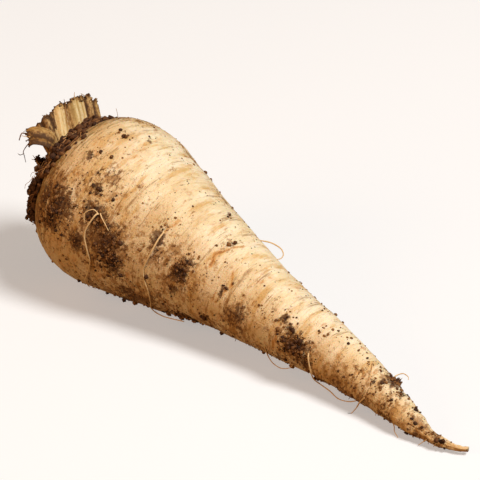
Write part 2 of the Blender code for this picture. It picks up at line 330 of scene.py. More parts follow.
camera.rotation_quaternion = Matrix((level, (-aim).cross(level), -aim)).transposed().to_quaternion()
print("camera at, mm:", [round(value / MM) for value in camera.location])

# %% Lamps and surround
LAMP_DISTANCE = 2.4
LAMPS = {                        # the way to it, its size in m, its watts and its colour
    "key_lamp": ((0.525, 0.103, 0.845), 0.9, 60.5, "FFFBF4"),
    "fill_lamp": ((-0.25, -0.92, 0.30), 1.8, 26.0, "FFCC98"),
}
SURROUND = 0.17
for name, (way, size, watts, hex_colour) in LAMPS.items():
    lamp = bpy.data.objects.new(name, bpy.data.lights.new(name, 'AREA'))
    bpy.context.scene.collection.objects.link(lamp)
    lamp.data.shape = 'DISK'
    lamp.data.size = size
    lamp.data.energy = watts
    lamp.data.color = srgb(hex_colour)[:3]
    lamp.location = Vector(way).normalized() * LAMP_DISTANCE
    lamp.rotation_mode = 'QUATERNION'
    lamp.rotation_quaternion = Vector(way).to_track_quat('Z', 'Y')
world = bpy.data.worlds.new("surround")
world.use_nodes = True
world.node_tree.nodes["Background"].inputs["Color"].default_value = srgb("FFC890")
world.node_tree.nodes["Background"].inputs["Strength"].default_value = SURROUND
bpy.context.scene.world = world
bpy.context.scene.view_settings.view_transform = 'Standard'
print("lamps:", {name: "%.1f W" % row[2] for name, row in LAMPS.items()})

# %% [markdown]
# ## Where soil lies on the skin
# A dug parsnip isn't evenly dirty. Soil stays in patches, thickest where rootlets hold
# it, with a brown film smeared round each patch, and most of it is on the shoulder and on
# the near, lower side. Painting this by hand would be an image. Here each patch is a soft
# oval in `along` and `around`, and the skin, its material and the crumbs all ask the same
# function how dirty a spot is, so that they agree.

# %% Soil patches: along mm, around degrees, half length mm, half width mm, strength
SOIL_PATCHES = (
    (-11, -24, 3, 7, 0.6), (-4, -38, 5, 3, 0.5), (2, 70, 7, 7.5, 0.85), (-6, 72, 4, 6, 0.75),
    (15, 63, 5, 4.5, 0.9), (23, 76, 4.5, 7, 0.8), (12, 88, 3.6, 4.4, 0.85), (1, 84, 5, 5, 0.75),
    (26, 94, 4.5, 7, 0.75), (31, 122, 6, 8, 0.6), (12, 48, 3, 3, 0.7), (2, 34, 2.6, 2.6, 0.8),
    (5, 29, 1.6, 1.2, 0.6), (9, 39, 1.6, 2.2, 0.6), (18, 50, 2.2, 2.6, 0.45),
    (38, 54, 3, 4.5, 0.8), (38, 42, 1.6, 3.5, 0.55), (51, 58, 3, 3.4, 0.75), (50, 73, 3.6, 3.2, 1.0),
    (49, 92, 3, 3, 0.65), (62, 111, 2.6, 2.4, 0.8), (66, 64, 1.2, 4.6, 0.75), (75, 78, 3.6, 4.6, 0.6),
    (90, 47, 1.8, 2.4, 0.9), (93, 54, 1.8, 2, 0.7), (98, 76, 5.4, 4.6, 1.0), (103, 98, 3.4, 3.4, 0.8),
    (109, 128, 3, 3, 0.75), (58, 8, 1.3, 2.2, 0.6), (52, 133, 6, 3, 0.85), (28, 138, 5, 3, 0.8),
    (92, 118, 4, 3, 0.6), (131, -28, 3.4, 4, 0.95), (130, 8, 1.6, 3, 0.75), (128, 34, 1.6, 1.6, 0.8),
    (155, 20, 2.6, 2.6, 0.6), (149, 108, 3.0, 2.2, 0.6), (123, 34, 2.2, 2, 0.4), (137, -16, 1.6, 2, 0.8),
    (144, -26, 1.5, 1.6, 0.9), (138, 112, 5, 2.2, 0.6), (147, 40, 2, 1.6, 0.5),
    (47, -19, 1.8, 2, 0.55), (10, -5, 1.6, 1.8, 0.5), (24, -44, 2.6, 2.2, 0.5),
    (30, -96, 5, 4, 0.9), (84, -84, 4.4, 3.6, 0.9), (8, -88, 5, 6, 0.7), (3, -128, 6, 7, 0.8),
    (22, -150, 6, 6, 0.7), (52, -118, 4, 5, 0.7), (64, -160, 5, 5, 0.7), (108, -110, 4, 4, 0.7),
    (46, 172, 7, 8, 0.7), (12, 168, 8, 9, 0.8), (96, 168, 6, 5, 0.7), (128, -120, 4, 3, 0.7),
)
print("soil patches:", len(SOIL_PATCHES))

# %% Film patches, in the same units
FILM_PATCHES = (
    (-9, -26, 6, 12, 0.6), (0, -22, 5, 7, 0.55), (16, -40, 9, 5, 0.5), (38, -36, 10, 5, 0.4),
    (-2, 74, 14, 13, 0.75), (22, 84, 13, 16, 0.75), (11, 90, 6, 6, 0.6), (0, 84, 7, 7, 0.6),
    (13, 36, 6, 6, 0.4), (8, 50, 8, 7, 0.5), (38, 66, 10, 10, 0.45), (52, 84, 10, 11, 0.35),
    (74, 86, 9, 8, 0.5), (98, 86, 10, 8, 0.75), (34, 130, 26, 16, 0.65), (70, 132, 26, 10, 0.55),
    (112, 120, 16, 8, 0.55), (150, 60, 9, 8, 0.42), (130, -20, 6, 8, 0.5), (142, 80, 10, 6, 0.4),
    (116, 60, 8, 7, 0.4), (120, 104, 16, 8, 0.5), (138, 50, 12, 9, 0.42), (57, 10, 3, 7, 0.45),
    (122, 32, 4, 4, 0.5), (28, -100, 12, 13, 0.6), (82, -86, 10, 9, 0.6), (4, -120, 12, 16, 0.7),
    (44, 176, 30, 18, 0.6), (110, -120, 12, 8, 0.55), (56, -130, 12, 10, 0.5),
)
print("film patches:", len(FILM_PATCHES))


# %% How dirty a spot is
def in_metres(rows):
    """The patches with metres for millimetres and radians for degrees."""
    return tuple((along * MM, radians(around), length * MM, width * MM, strength)
                 for along, around, length, width, strength in rows)


SOIL, FILM = in_metres(SOIL_PATCHES), in_metres(FILM_PATCHES)


@lru_cache(maxsize=None)
def patches_near(patches, along):
    return [row for row in patches if abs(along - row[0]) < 2.2 * row[2]]


def cover(patches, along, around):
    """How strongly the patches cover a spot: most in the middle of one, fading out."""
    most = 0.0
    for place, turn, length, width, strength in patches_near(patches, along):
        aside = ((around - turn + pi) % tau - pi) * round_radius(along)
        most = max(most, strength * exp(-((along - place) / length) ** 2 - (aside / width) ** 2))
    return most


print("soil in the middle of the first patch:", cover(SOIL, *SOIL[0][:2]))

# %% The film, and the stain with painted shade
FILM_RIM = (-0.009, -0.015)      # along, where the crown's brown rim begins and is full
NEAR_STAIN_AND_SHADE = -0.35               # around, in radians, where the near side's stain and painted shade begin
FAR_STAIN_AND_SHADE = 0.8                  # and where the far side's begin
STAIN_AND_SHADE_SPAN = 2.1
TAIL_START = 0.09                # along, where the tail begins to be rougher and browner
TAIL_FULL = 0.14


def straightened(along, around):
    """The spot on a root whose axis is straight: what patterns are laid out on."""
    reach = round_radius(along)
    return Vector((along, reach * cos(around), reach * sin(around)))


def film_at(along, around):
    """How brown the film is: the patches, thin clouds between them, and the crown's rim."""
    spot = straightened(along, around)
    cloud = 0.9 * max(0.0, noise.noise(spot * 75) + 0.5 * noise.noise(spot * 230) - 0.05)
    rim = 0.75 * ramp(along, *FILM_RIM)
    return min(1.0, max(cover(FILM, along, around), rim) + 0.6 * cloud)


def stain_and_painted_shade_at(along, around):
    """How far the skin is darkened, from 0 on the top: stained towards the tail, darker by the crown, and on
    its lower sides partly a stain and partly painted shade.
    """
    start = NEAR_STAIN_AND_SHADE if around > 0 else FAR_STAIN_AND_SHADE
    # the lower sides: partly a brown stain, partly painted shade
    side = min(0.66, max(0.0, (abs(around) - start) / STAIN_AND_SHADE_SPAN))
    tail = 0.18 * ramp(along, TAIL_START, TAIL_FULL)
    crown = 0.5 * exp(-((along + 0.006) / 0.016) ** 2)
    return min(0.8, tail + crown + side)


# the stain and painted shade, on top and below
print("stain on top and below: %.2f, %.2f" % (stain_and_painted_shade_at(0.05, 0.0), stain_and_painted_shade_at(0.05, pi)))

# %% [markdown]
# ## The skin's relief
# The skin isn't smooth. It swells and sinks by a few tenths of a millimetre, and fine
# wrinkles run round it, closest together on the shoulder. Some of them have opened into
# creases, and a few of those have healed to rusty scars. Bump alone wouldn't break the
# outline, so this is real height. The wrinkles are a noise that is stretched round the
# root. The creases are the lines where such a noise crosses zero, because those are long,
# thin and never quite straight. Each large scar has its own row in a table.

# %% Rusty scars: from and to (along mm, around degrees), half width mm, strength
SCARS = (
    ((58, 46), (56.8, 32), 0.9, 1.0), ((56.8, 32), (58.6, 18), 0.9, 1.0),
    ((58.6, 18), (61, 0), 0.8, 0.8), ((17, 51), (21, 42), 0.7, 0.8),
    ((65.5, 36), (68, 52), 0.7, 0.7), ((68, 52), (65.5, 80), 0.8, 0.8),
    ((39, 48), (40, 30), 0.8, 0.6), ((90, 104), (90, 56), 0.7, 0.8), ((96, 30), (96, 8), 0.6, 0.7),
    ((126, 12), (131, -2), 0.7, 0.7), ((69, 18), (72, 2), 0.6, 0.5), ((74, -40), (78, -22), 0.6, 0.5),
    ((14, 24), (15, 12), 0.6, 0.6), ((33, -96), (35, -130), 0.7, 0.8), ((70, -84), (69, -120), 0.7, 0.8),
    ((100, -60), (102, -100), 0.6, 0.7), ((48, 150), (50, 176), 0.8, 0.7), ((122, 42), (124, 26), 1.6, 0.6),
)
SCAR_REACH = 4 * MM              # past this distance a scar is not looked at


@lru_cache(maxsize=None)
def scars_near(along):
    """The scars whose span along the root comes close."""
    return [row for row in SCARS
            if (min(row[0][0], row[1][0]) * MM - SCAR_REACH < along
                < max(row[0][0], row[1][0]) * MM + SCAR_REACH)]


def scar_at(along, around):
    """1 on a rusty scar, fading out beside it."""
    most = 0.0
    for (a0, t0), (a1, t1), half_width, strength in scars_near(along):
        turn = (around - radians((t0 + t1) / 2) + pi) % tau - pi
        share = max(-1.0, min(1.0, turn / radians((t1 - t0) / 2)))
        aside = abs(turn) - radians(abs(t1 - t0) / 2)
        line = (a0 + a1) / 2 + share * (a1 - a0) / 2
        wander = 0.7 * noise.noise(Vector((around * 6, a0, 0)))
        across = (along / MM - line - wander) / half_width
        beyond = max(0.0, aside) * round_radius(along) / MM
        most = max(most, strength * exp(-across**2 - beyond**2))
    return most


print("scars:", len(SCARS))

# %% Relief
# heights are in mm, and a noise's pitch is in waves to a metre
SCAR_DEPTH = 0.20                # mm; a plain crease is about a third of that
SOIL_HEIGHT = 0.40               # mm
THIN_TAIL = (0.149, 0.155)       # along, where the tail's tip begins to thin and is thinnest


def belt(along, around, pitch, stretch, shift=0.0):
    """A noise that is stretched round the root, as wrinkles are."""
    return noise.noise(Vector((along * pitch, stretch * cos(around), stretch * sin(around) + shift)))


def relief(along, around):
    """The real surface's height over the form, in metres, and how far it is a crease."""
    spot = straightened(along, around)
    shoulder = exp(-((along + 0.004) / 0.016) ** 2)
    tail = ramp(along, TAIL_START, TAIL_FULL)
    swell = 0.30 * noise.noise(spot * 60) + 0.12 * noise.noise(spot * 190)
    ringing = (0.26 + 0.34 * tail) * belt(along, around, 130, 1.1, 2)
    wrinkle = (0.08 + 0.14 * tail) * belt(along, around, 420, 2.52)
    wrinkle += 0.30 * tail * belt(along, around, 190, 1.14)
    wrinkle += (0.04 + 0.07 * shoulder) * belt(along, around, 1050, 6.3)
    line = belt(along, around, 110, 0.8, 4.7)
    open_share = max(0.0, min(1.0, 0.2 + 2.6 * noise.noise(spot * 110 + Vector((9, 0, 0)))))
    crease = 0.385 * exp(-(line / 0.05) ** 2) * open_share
    crease = max(crease, scar_at(along, around))
    crumbly = max(0.0, 0.3 + 0.8 * noise.noise(spot * 700) + 0.5 * noise.noise(spot * 1500))
    height = (swell + ringing + wrinkle - SCAR_DEPTH * crease
              + SOIL_HEIGHT * cover(SOIL, along, around) * crumbly)
    fade = min(1.0, (LENGTH - along) / 0.012 + 0.3)
    tip = ramp(along, *THIN_TAIL)
    thinner = tip * tip * (3 - 2 * tip) * (0.26 + 0.25 * noise.noise(spot * 900))
    return (height * fade - thinner) * MM, crease


def on_skin(along, around, height=0.0):
    """A point above the real surface, and the way out of it there."""
    return on_form(along, around, relief(along, around)[0] + height)


print("height on top, every 40 mm:", [round(relief(k * 0.04, 0.0)[0] / MM, 2) for k in range(4)])

# %% [markdown]
# ## The taproot's skin
# The taproot is one closed skin. Its outline from crown to tail is drawn as a chain of
# edges and spun once round the axis, which gives even rings. Each point is then carried
# onto the bent, dipping form and lifted by the relief. Moving points in code is what
# a sculptor's brush does by hand, and it keeps the result the same each time.

# %% Spin the profile
SPIN_STEPS = 240
FACE_RINGS = 8
SHOULDER_RINGS = 40
TAPER_RING = 0.00047             # spacing of the rings along the taper


def profile():
    """The outline's points (reach from the axis, along), crown's middle to the tail."""
    rim = round_radius(-CROWN_BACK)
    points = [(rim * k / FACE_RINGS, -CROWN_BACK) for k in range(FACE_RINGS)]
    for k in range(SHOULDER_RINGS):
        along = -CROWN_BACK * cos(pi / 2 * k / SHOULDER_RINGS) ** 1.4
        points.append((round_radius(along), along))
    count = ceil(LENGTH / TAPER_RING)
    points += [(round_radius(LENGTH * k / count), LENGTH * k / count) for k in range(count + 1)]
    return points + [(0.0, LENGTH)]


bm = bmesh.new()
chain = [bm.verts.new((reach, 0, along)) for reach, along in profile()]
edges = [bm.edges.new(pair) for pair in zip(chain, chain[1:])]
bmesh.ops.spin(bm, geom=chain + edges, cent=(0, 0, 0), axis=(0, 0, 1), dvec=(0, 0, 0),
               angle=tau, steps=SPIN_STEPS, use_merge=True)
bmesh.ops.remove_doubles(bm, verts=bm.verts, dist=1e-7)
print("spun skin: %d points, %d faces" % (len(bm.verts), len(bm.faces)))

# %% Carry it onto the form
LOWEST = 0.0001                  # the skin keeps just above the floor
CROWN_LINES = (0.002, -0.012)    # along, where the olive lines by the crown begin and are full
grain = bm.verts.layers.float_vector.new("grain")
soil_layer = bm.verts.layers.float.new("soil")
film_layer = bm.verts.layers.float.new("film")
crease_layer = bm.verts.layers.float.new("crease")
stain_and_painted_shade_layer = bm.verts.layers.float.new("stain_and_painted_shade")
rim_layer = bm.verts.layers.float.new("rim")
for vert in bm.verts:
    along = vert.co.z
    reach = Vector((vert.co.x, vert.co.y)).length
    around = atan2(vert.co.y, vert.co.x) if reach > 1e-6 else 0.0
    share = min(1.0, reach / max(round_radius(along), 1e-6))
    height, crease = relief(along, around)
    middle = ORIGIN + axis_at(along)[0]
    vert.co = middle + (on_form(along, around, height)[0] - middle) * share
    vert.co.z = max(vert.co.z, LOWEST)
    vert[grain] = straightened(along, around) * share
    vert[grain].x = along
    vert[soil_layer] = cover(SOIL, along, around)
    vert[film_layer] = film_at(along, around)
    vert[crease_layer] = crease
    vert[stain_and_painted_shade_layer] = stain_and_painted_shade_at(along, around)
    vert[rim_layer] = ramp(along, *CROWN_LINES)
bmesh.ops.recalc_face_normals(bm, faces=bm.faces)
print("highest point of the skin: %.1f mm" % (max(vert.co.z for vert in bm.verts) / MM))

# %% [markdown]
# ## The skin's finish
# Parsnip skin is a thin cork, cream where it is clean, with wheat and rust tones in it,
# fine tan lines round it and dark pin-points. It isn't shiny: washed by damp soil it has
# a soft sheen, and light goes a little way in. Soil on it first shows as a brown film, and
# then covers it. The material lays those one on the other. Each layer is a noise at
# the real size of its marks, pushed up where the skin's own attributes say so. The `grain`
# attribute lays the patterns out on a straightened root, so that they follow its bend.

# %% Skin material
skin, tree, shader = new_material("parsnip_cork_skin_with_soil_film", Metallic=0.0, IOR=1.42,
                                  Subsurface_Weight=0.14, Subsurface_Scale=0.003,
                                  Subsurface_Radius=(1.0, 0.4, 0.15), Specular_IOR_Level=0.36)
FACTOR, UNDER, OVER, RESULT = 0, 6, 7, 2      # the colour Mix node's sockets
grain_out = add_node(tree, "Attribute", attribute_name="grain").outputs["Vector"]
attribute_out = {name: add_node(tree, "Attribute", attribute_name=name).outputs["Fac"]
                 for name in ("soil", "film", "crease", "stain_and_painted_shade", "rim")}


def laid_over(tree, under, mask, hex_colour):
    """Lay a colour over the one below it, as far as the mask says."""
    return add_node(tree, "Mix", {FACTOR: mask, UNDER: under, OVER: srgb(hex_colour)},
                    data_type='RGBA').outputs[RESULT]


print("skin attributes:", list(attribute_out))

# %% [markdown]
# ### Lens-shaped swellings
# Close to, the skin is a quilt of shallow swellings, a few millimetres along the root and
# much longer round it, pale on their backs and ochre in the seams between. A cell pattern
# gives the seams, as the distance to the nearest cell's edge. A slow noise bends it first,
# because straight-sided cells look like tiles, and another one wipes parts of it out.

# %% Seams and their pale backs
LENS_SIZE = 8.5                  # mm along the root
LENS_STRETCH = 2.6               # how many times longer a swelling is round the root
BEND = 0.004                     # how far the noise bends the seams, m
SEAM_REACH = 0.14                # a seam fades out at this distance, in cells
SEAM_STRENGTH = 0.72
BACK_STRENGTH = 0.6
warp = add_node(tree, "TexNoise", {"Vector": grain_out, "Scale": 1 / (5 * MM), "Detail": 3}).outputs["Color"]
bent = add_node(tree, "VectorMath", {0: warp, 1: (BEND, BEND, BEND), 2: grain_out},
                operation='MULTIPLY_ADD').outputs[0]
laid = add_node(tree, "Mapping", {"Vector": bent,
                                  "Scale": (1, 1 / LENS_STRETCH, 1 / LENS_STRETCH)}).outputs[0]
seam = add_node(tree, "TexVoronoi", {"Vector": laid, "Scale": 1 / (LENS_SIZE * MM)},
                feature='DISTANCE_TO_EDGE').outputs["Distance"]
wiping = add_node(tree, "TexNoise", {"Vector": grain_out, "Scale": 1 / (3 * MM), "Detail": 4}).outputs["Fac"]
line = add_node(tree, "MapRange", {"Value": seam, "From Min": SEAM_REACH, "To Max": 1.0}).outputs[0]
shown = add_node(tree, "MapRange", {"Value": wiping, "From Min": 0.40, "From Max": 0.62}).outputs[0]
seam_mask = add_node(tree, "Math", {0: line, 1: shown}, operation='MULTIPLY').outputs[0]
seam_share = add_node(tree, "Math", {0: seam_mask, 1: SEAM_STRENGTH}, operation='MULTIPLY').outputs[0]
pale_back = add_node(tree, "MapRange", {"Value": seam, "From Min": 0.20, "From Max": 0.42,
                                        "To Max": BACK_STRENGTH}).outputs[0]
colour = laid_over(tree, srgb("EEDCB6"), seam_share, "BC8642")
colour = laid_over(tree, colour, pale_back, "F4EACB")
print("swellings: %.1f mm along and %.0f mm round" % (LENS_SIZE, LENS_SIZE * LENS_STRETCH))

# %% Marks on the skin, from the palest to the soil
# mark: its attribute and that one's weight, its size in mm along the root, how many times
# longer it is round it, the noise's detail, where it starts and is full, strength, colour
SKIN_MARKS = {
    "cream bands": ("", 0, 4.8, 3.4, 4, 0.45, 0.58, 0.80, "F8ECD0"),
    "ochre arcs": ("", 0, 3.4, 4.0, 5, 0.50, 0.68, 0.70, "D0A050"),
    # the lower sides darkened, partly a brown stain and partly painted shade
    "stained and shaded lower sides": ("stain_and_painted_shade", 0.5, 6, 2.0, 5, 0.50, 1.04, 0.72, "CDA060"),
    "rust blooms": ("", 0, 3.0, 2.4, 6, 0.57, 0.70, 0.62, "C07C32"),
    "fine lines": ("", 0, 0.7, 10, 3, 0.54, 0.70, 0.22, "AD7C3C"),
    "broken lines": ("", 0, 1.9, 9, 6, 0.575, 0.67, 0.66, "8E5E28"),
    "olive crown lines": ("rim", 0.24, 0.9, 9, 5, 0.60, 0.74, 0.72, "7C632A"),
    "orange crease edges": ("crease", 0.5, 1.6, 3, 4, 0.64, 0.92, 0.70, "D0903F"),
    "dark crease middles": ("crease", 0.6, 1.0, 3, 5, 0.86, 1.16, 0.80, "9A5E22"),
    "stain speckle": ("stain_and_painted_shade", 0.10, 1.3, 1.8, 7, 0.63, 0.72, 0.66, "7A4E1E"),
    "brown film": ("film", 0.34, 1.8, 1.3, 7, 0.60, 0.74, 0.72, "9A682C"),
    "film speckle": ("film", 0.27, 0.9, 1.5, 7, 0.66, 0.74, 0.78, "5F3A18"),
    "soil": ("soil", 0.44, 1.6, 1.1, 7, 0.68, 0.80, 0.84, "5E3B1E"),
    "thick soil": ("soil", 0.36, 0.9, 1.0, 7, 0.75, 0.84, 0.86, "38241C"),
}
mark_masks = {}
for mark, (name, weight, size, stretch, detail, start, full, strength, hex_colour) in SKIN_MARKS.items():
    place = add_node(tree, "Mapping", {"Vector": grain_out, "Scale": (1, 1 / stretch, 1 / stretch),
                                       "Location": (0.01 * size, 0.02, 0.03 * len(mark_masks))}).outputs[0]
    value = add_node(tree, "TexNoise", {"Vector": place, "Scale": 1 / (size * MM), "Detail": detail,
                                        "Roughness": 0.66}).outputs["Fac"]
    if name:
        value = add_node(tree, "Math", {0: attribute_out[name], 1: weight, 2: value},
                         operation='MULTIPLY_ADD').outputs[0]
    mask = add_node(tree, "MapRange", {"Value": value, "From Min": start, "From Max": full,
                                       "To Max": strength}, interpolation_type='SMOOTHSTEP').outputs[0]
    colour = laid_over(tree, colour, mask, hex_colour)
    mark_masks[mark] = mask
print("skin layers:", len(mark_masks))

# %% Pin-points
# a cell pattern's centres, where the cell's own random number allows it, and in crowds:
# spacing in mm, share of the cells that have one, its radius in cells, colour
PIN_POINTS = ((1.2, 0.30, 0.17, "5A3A20"), (2.2, 0.36, 0.16, "4A2E1C"), (4.5, 0.42, 0.11, "3C2418"))
CROWD = 5                        # a crowd's size, in spacings
for size, share, reach, hex_colour in PIN_POINTS:
    cells = add_node(tree, "TexVoronoi", {"Vector": grain_out, "Scale": 1 / (size * MM)})
    crowding = add_node(tree, "TexNoise", {"Vector": grain_out,
                                           "Scale": 1 / (CROWD * size * MM)}).outputs["Fac"]
    allowed = add_node(tree, "MapRange", {"Value": crowding, "From Min": 0.42, "From Max": 0.68,
                                          "To Max": 2.2 * share}).outputs[0]
    chosen = add_node(tree, "Math", {0: cells.outputs["Color"], 1: allowed}, operation='LESS_THAN').outputs[0]
    dot = add_node(tree, "MapRange", {"Value": cells.outputs["Distance"], "From Min": reach,
                                      "From Max": reach * 0.6}).outputs[0]
    mask = add_node(tree, "Math", {0: dot, 1: chosen}, operation='MULTIPLY').outputs[0]
    colour = laid_over(tree, colour, mask, hex_colour)
tree.links.new(colour, shader.inputs["Base Color"])
print("pin-point sizes:", len(PIN_POINTS))

# %% The skin's sheen and fine bumps
# Soil and pores stand up; rust blooms and the seams between swellings lie a little lower.
# Cork's pores are a tenth of a millimetre: half a millimetre is as fine as shows.
CLEAN_ROUGHNESS = 0.46
SOILED_ROUGHNESS = 0.92
soiled = add_node(tree, "Math", {0: mark_masks["thick soil"], 1: mark_masks["soil"]},
                  operation='MAXIMUM').outputs[0]
roughness = add_node(tree, "MapRange", {"Value": soiled, "To Min": CLEAN_ROUGHNESS,
                                        "To Max": SOILED_ROUGHNESS}).outputs[0]
tree.links.new(roughness, shader.inputs["Roughness"])
pores = add_node(tree, "TexNoise", {"Vector": grain_out, "Scale": 1 / (0.5 * MM), "Detail": 4}).outputs["Fac"]
height = add_node(tree, "Math", {0: soiled, 1: 0.8, 2: pores}, operation='MULTIPLY_ADD').outputs[0]
for mask, weight in ((mark_masks["rust blooms"], -0.5), (seam_mask, -0.8)):
    height = add_node(tree, "Math", {0: mask, 1: weight, 2: height}, operation='MULTIPLY_ADD').outputs[0]
bump = add_node(tree, "Bump", {"Height": height, "Strength": 0.85, "Distance": 0.28 * MM})
tree.links.new(bump.outputs[0], shader.inputs["Normal"])
print("skin nodes:", len(tree.nodes))

# %% The taproot piece
taproot = add_piece("taproot_skin", bm, skin)
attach(taproot, "root")
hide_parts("taproot")
print("taproot skin: %d faces" % len(taproot.data.polygons))

# %% [markdown]
# ## Grids rolled into tubes, and paths
# A stalk, a rootlet and the soil band are all tubes of some sort. A curve with a bevel
# could make one, but its section stays the same all along, and these change. So each one
# starts as a flat grid from one operator. A function then says where each corner goes,
# given how far it is lengthways and round. Rolled up, the grid's long edges meet and are
# merged, and the open ends are filled. The patterns on a tube need its own layout too, so
# each corner keeps it in an attribute, with the tone that its material reads.


# %% Rolled grids
def rolled(rings, sides, place):
    """A closed tube. place(lengthways, round) gives a corner's spot, grain and tone."""
    bm = bmesh.new()
    grain_layer = bm.verts.layers.float_vector.new("grain")
    tone_layer = bm.verts.layers.float.new("tone")
    bmesh.ops.create_grid(bm, x_segments=rings, y_segments=sides, size=0.5)
    for vert in bm.verts:
        lengthways, turn = vert.co.x + 0.5, vert.co.y + 0.5
        vert.co, vert[grain_layer], vert[tone_layer] = place(lengthways, tau * turn)
    bmesh.ops.remove_doubles(bm, verts=bm.verts, dist=1e-6)
    bmesh.ops.holes_fill(bm, edges=[edge for edge in bm.edges if edge.is_boundary], sides=0)
    bmesh.ops.recalc_face_normals(bm, faces=bm.faces)
    return bm


def new_bmesh():
    """An empty bmesh with the attributes that the tubes and crumbs carry."""
    bm = bmesh.new()
    bm.verts.layers.float_vector.new("grain")
    bm.verts.layers.float.new("tone")
    return bm


def put_in(small, bm):
    """Add a small bmesh to a larger one, pressed flat where it would sink into the floor."""
    for vert in small.verts:
        vert.co.z = max(vert.co.z, LOWEST)
    mesh = bpy.data.meshes.new("scratch")
    small.to_mesh(mesh)
    small.free()
    bm.from_mesh(mesh)
    bpy.data.meshes.remove(mesh)


print("rolled grids are ready")


# %% Smooth paths, and fibres along them
def smooth(points, share):
    """The spot at a share of the smooth path through the points."""
    place = share * (len(points) - 1)
    k = min(int(place), len(points) - 2)
    t = place - k
    before, after = points[max(k - 1, 0)], points[min(k + 2, len(points) - 1)]
    here, there = points[k], points[k + 1]
    return 0.5 * (here * 2 + (there - before) * t
                  + (before * 2 - here * 5 + there * 4 - after) * t**2
                  + (here * 3 - before - there * 3 + after) * t**3)


def frames_along(points, count):
    """Frames (spot, side, other side) along a path, turned as little as can be."""
    path = [smooth(points, k / (count - 1)) for k in range(count)]
    way = (path[1] - path[0]).normalized()
    side = way.orthogonal().normalized()
    frames = []
    for k, spot in enumerate(path):
        ahead = (path[min(k + 1, count - 1)] - path[max(k - 1, 0)]).normalized()
        side = (way.rotation_difference(ahead) @ side).normalized()
        way = ahead
        frames.append((spot, side, ahead.cross(side)))
    return frames


def add_fibre(bm, points, thick, thin, tone, rings, sides=5):
    """A tapering root fibre along a path, closed at both ends."""
    frames = frames_along(points, rings + 1)
    run = sum((points[k + 1] - points[k]).length for k in range(len(points) - 1))

    def place(lengthways, turn):
        spot, side, other = frames[round(lengthways * rings)]
        reach = thick + (thin - thick) * lengthways
        reach *= 1 + 0.25 * noise.noise(Vector((lengthways * run * 900, tone * 50, 0)))
        out = side * cos(turn) + other * sin(turn)
        layout = Vector((reach * cos(turn), reach * sin(turn), lengthways * run + tone))
        return spot + out * reach, layout, tone

    put_in(rolled(rings, sides, place), bm)


print("fibres are ready")


# %% Crumbs
def add_crumb(bm, spot, normal, size, rng, darkest=0.0, palest=1.0):
    """Press one crumb into the surface: a ball of 20 faces, knocked out of round."""
    lump = new_bmesh()
    tone_layer = lump.verts.layers.float["tone"]
    bmesh.ops.create_icosphere(lump, subdivisions=1, radius=1.0)
    tone = darkest + (palest - darkest) * rng.random() ** 1.4
    for vert in lump.verts:
        vert.co *= rng.uniform(0.70, 1.25)
        vert[tone_layer] = tone
    facing = normal.to_track_quat('Z', 'Y').to_matrix().to_4x4()
    turn = facing @ Matrix.Rotation(rng.uniform(0, tau), 4, 'Z')
    squash = Matrix.Diagonal((size * rng.uniform(0.8, 1.3), size * rng.uniform(0.7, 1.1),
                              size * rng.uniform(0.6, 0.95), 1))
    lump.transform(Matrix.Translation(spot + normal * (size * 0.25)) @ turn @ squash)
    put_in(lump, bm)


print("crumbs are ready")

# %% [markdown]
# ## The cut leaf stalks
# The leaves were cut off a finger's width above the crown. What stays are the feet of the
# stalks: thick strips, curved like gutters, ribbed outside, each a little behind the next.
# The knife went square across the root, so most of them end at one level, and their ends
# are brown and frayed. One on the near side has curled over and dried as a small hood.
# Each one is a rolled grid whose section is a ribbed crescent that follows a path from the
# crown. A lofted row of hand-drawn sections would do as well, but the ribs and the frayed
# end come more easily from a formula. The last rings turn in to make a sunken pith.

# %% The crown's own axes
crown_middle, crown_forward, crown_near, crown_up = axis_at(-CROWN_BACK)


def crown_way(out, to_near, to_up):
    """A direction or step in the crown's own axes."""
    return crown_near * to_near + crown_up * to_up - crown_forward * out


def crown_point(out, to_near, to_up):
    """A point given in mm from the middle of the crown's face."""
    return ORIGIN + crown_middle + crown_way(out, to_near, to_up) * MM


print("middle of the crown, mm:", [round(value / MM, 1) for value in crown_point(0, 0, 0)])

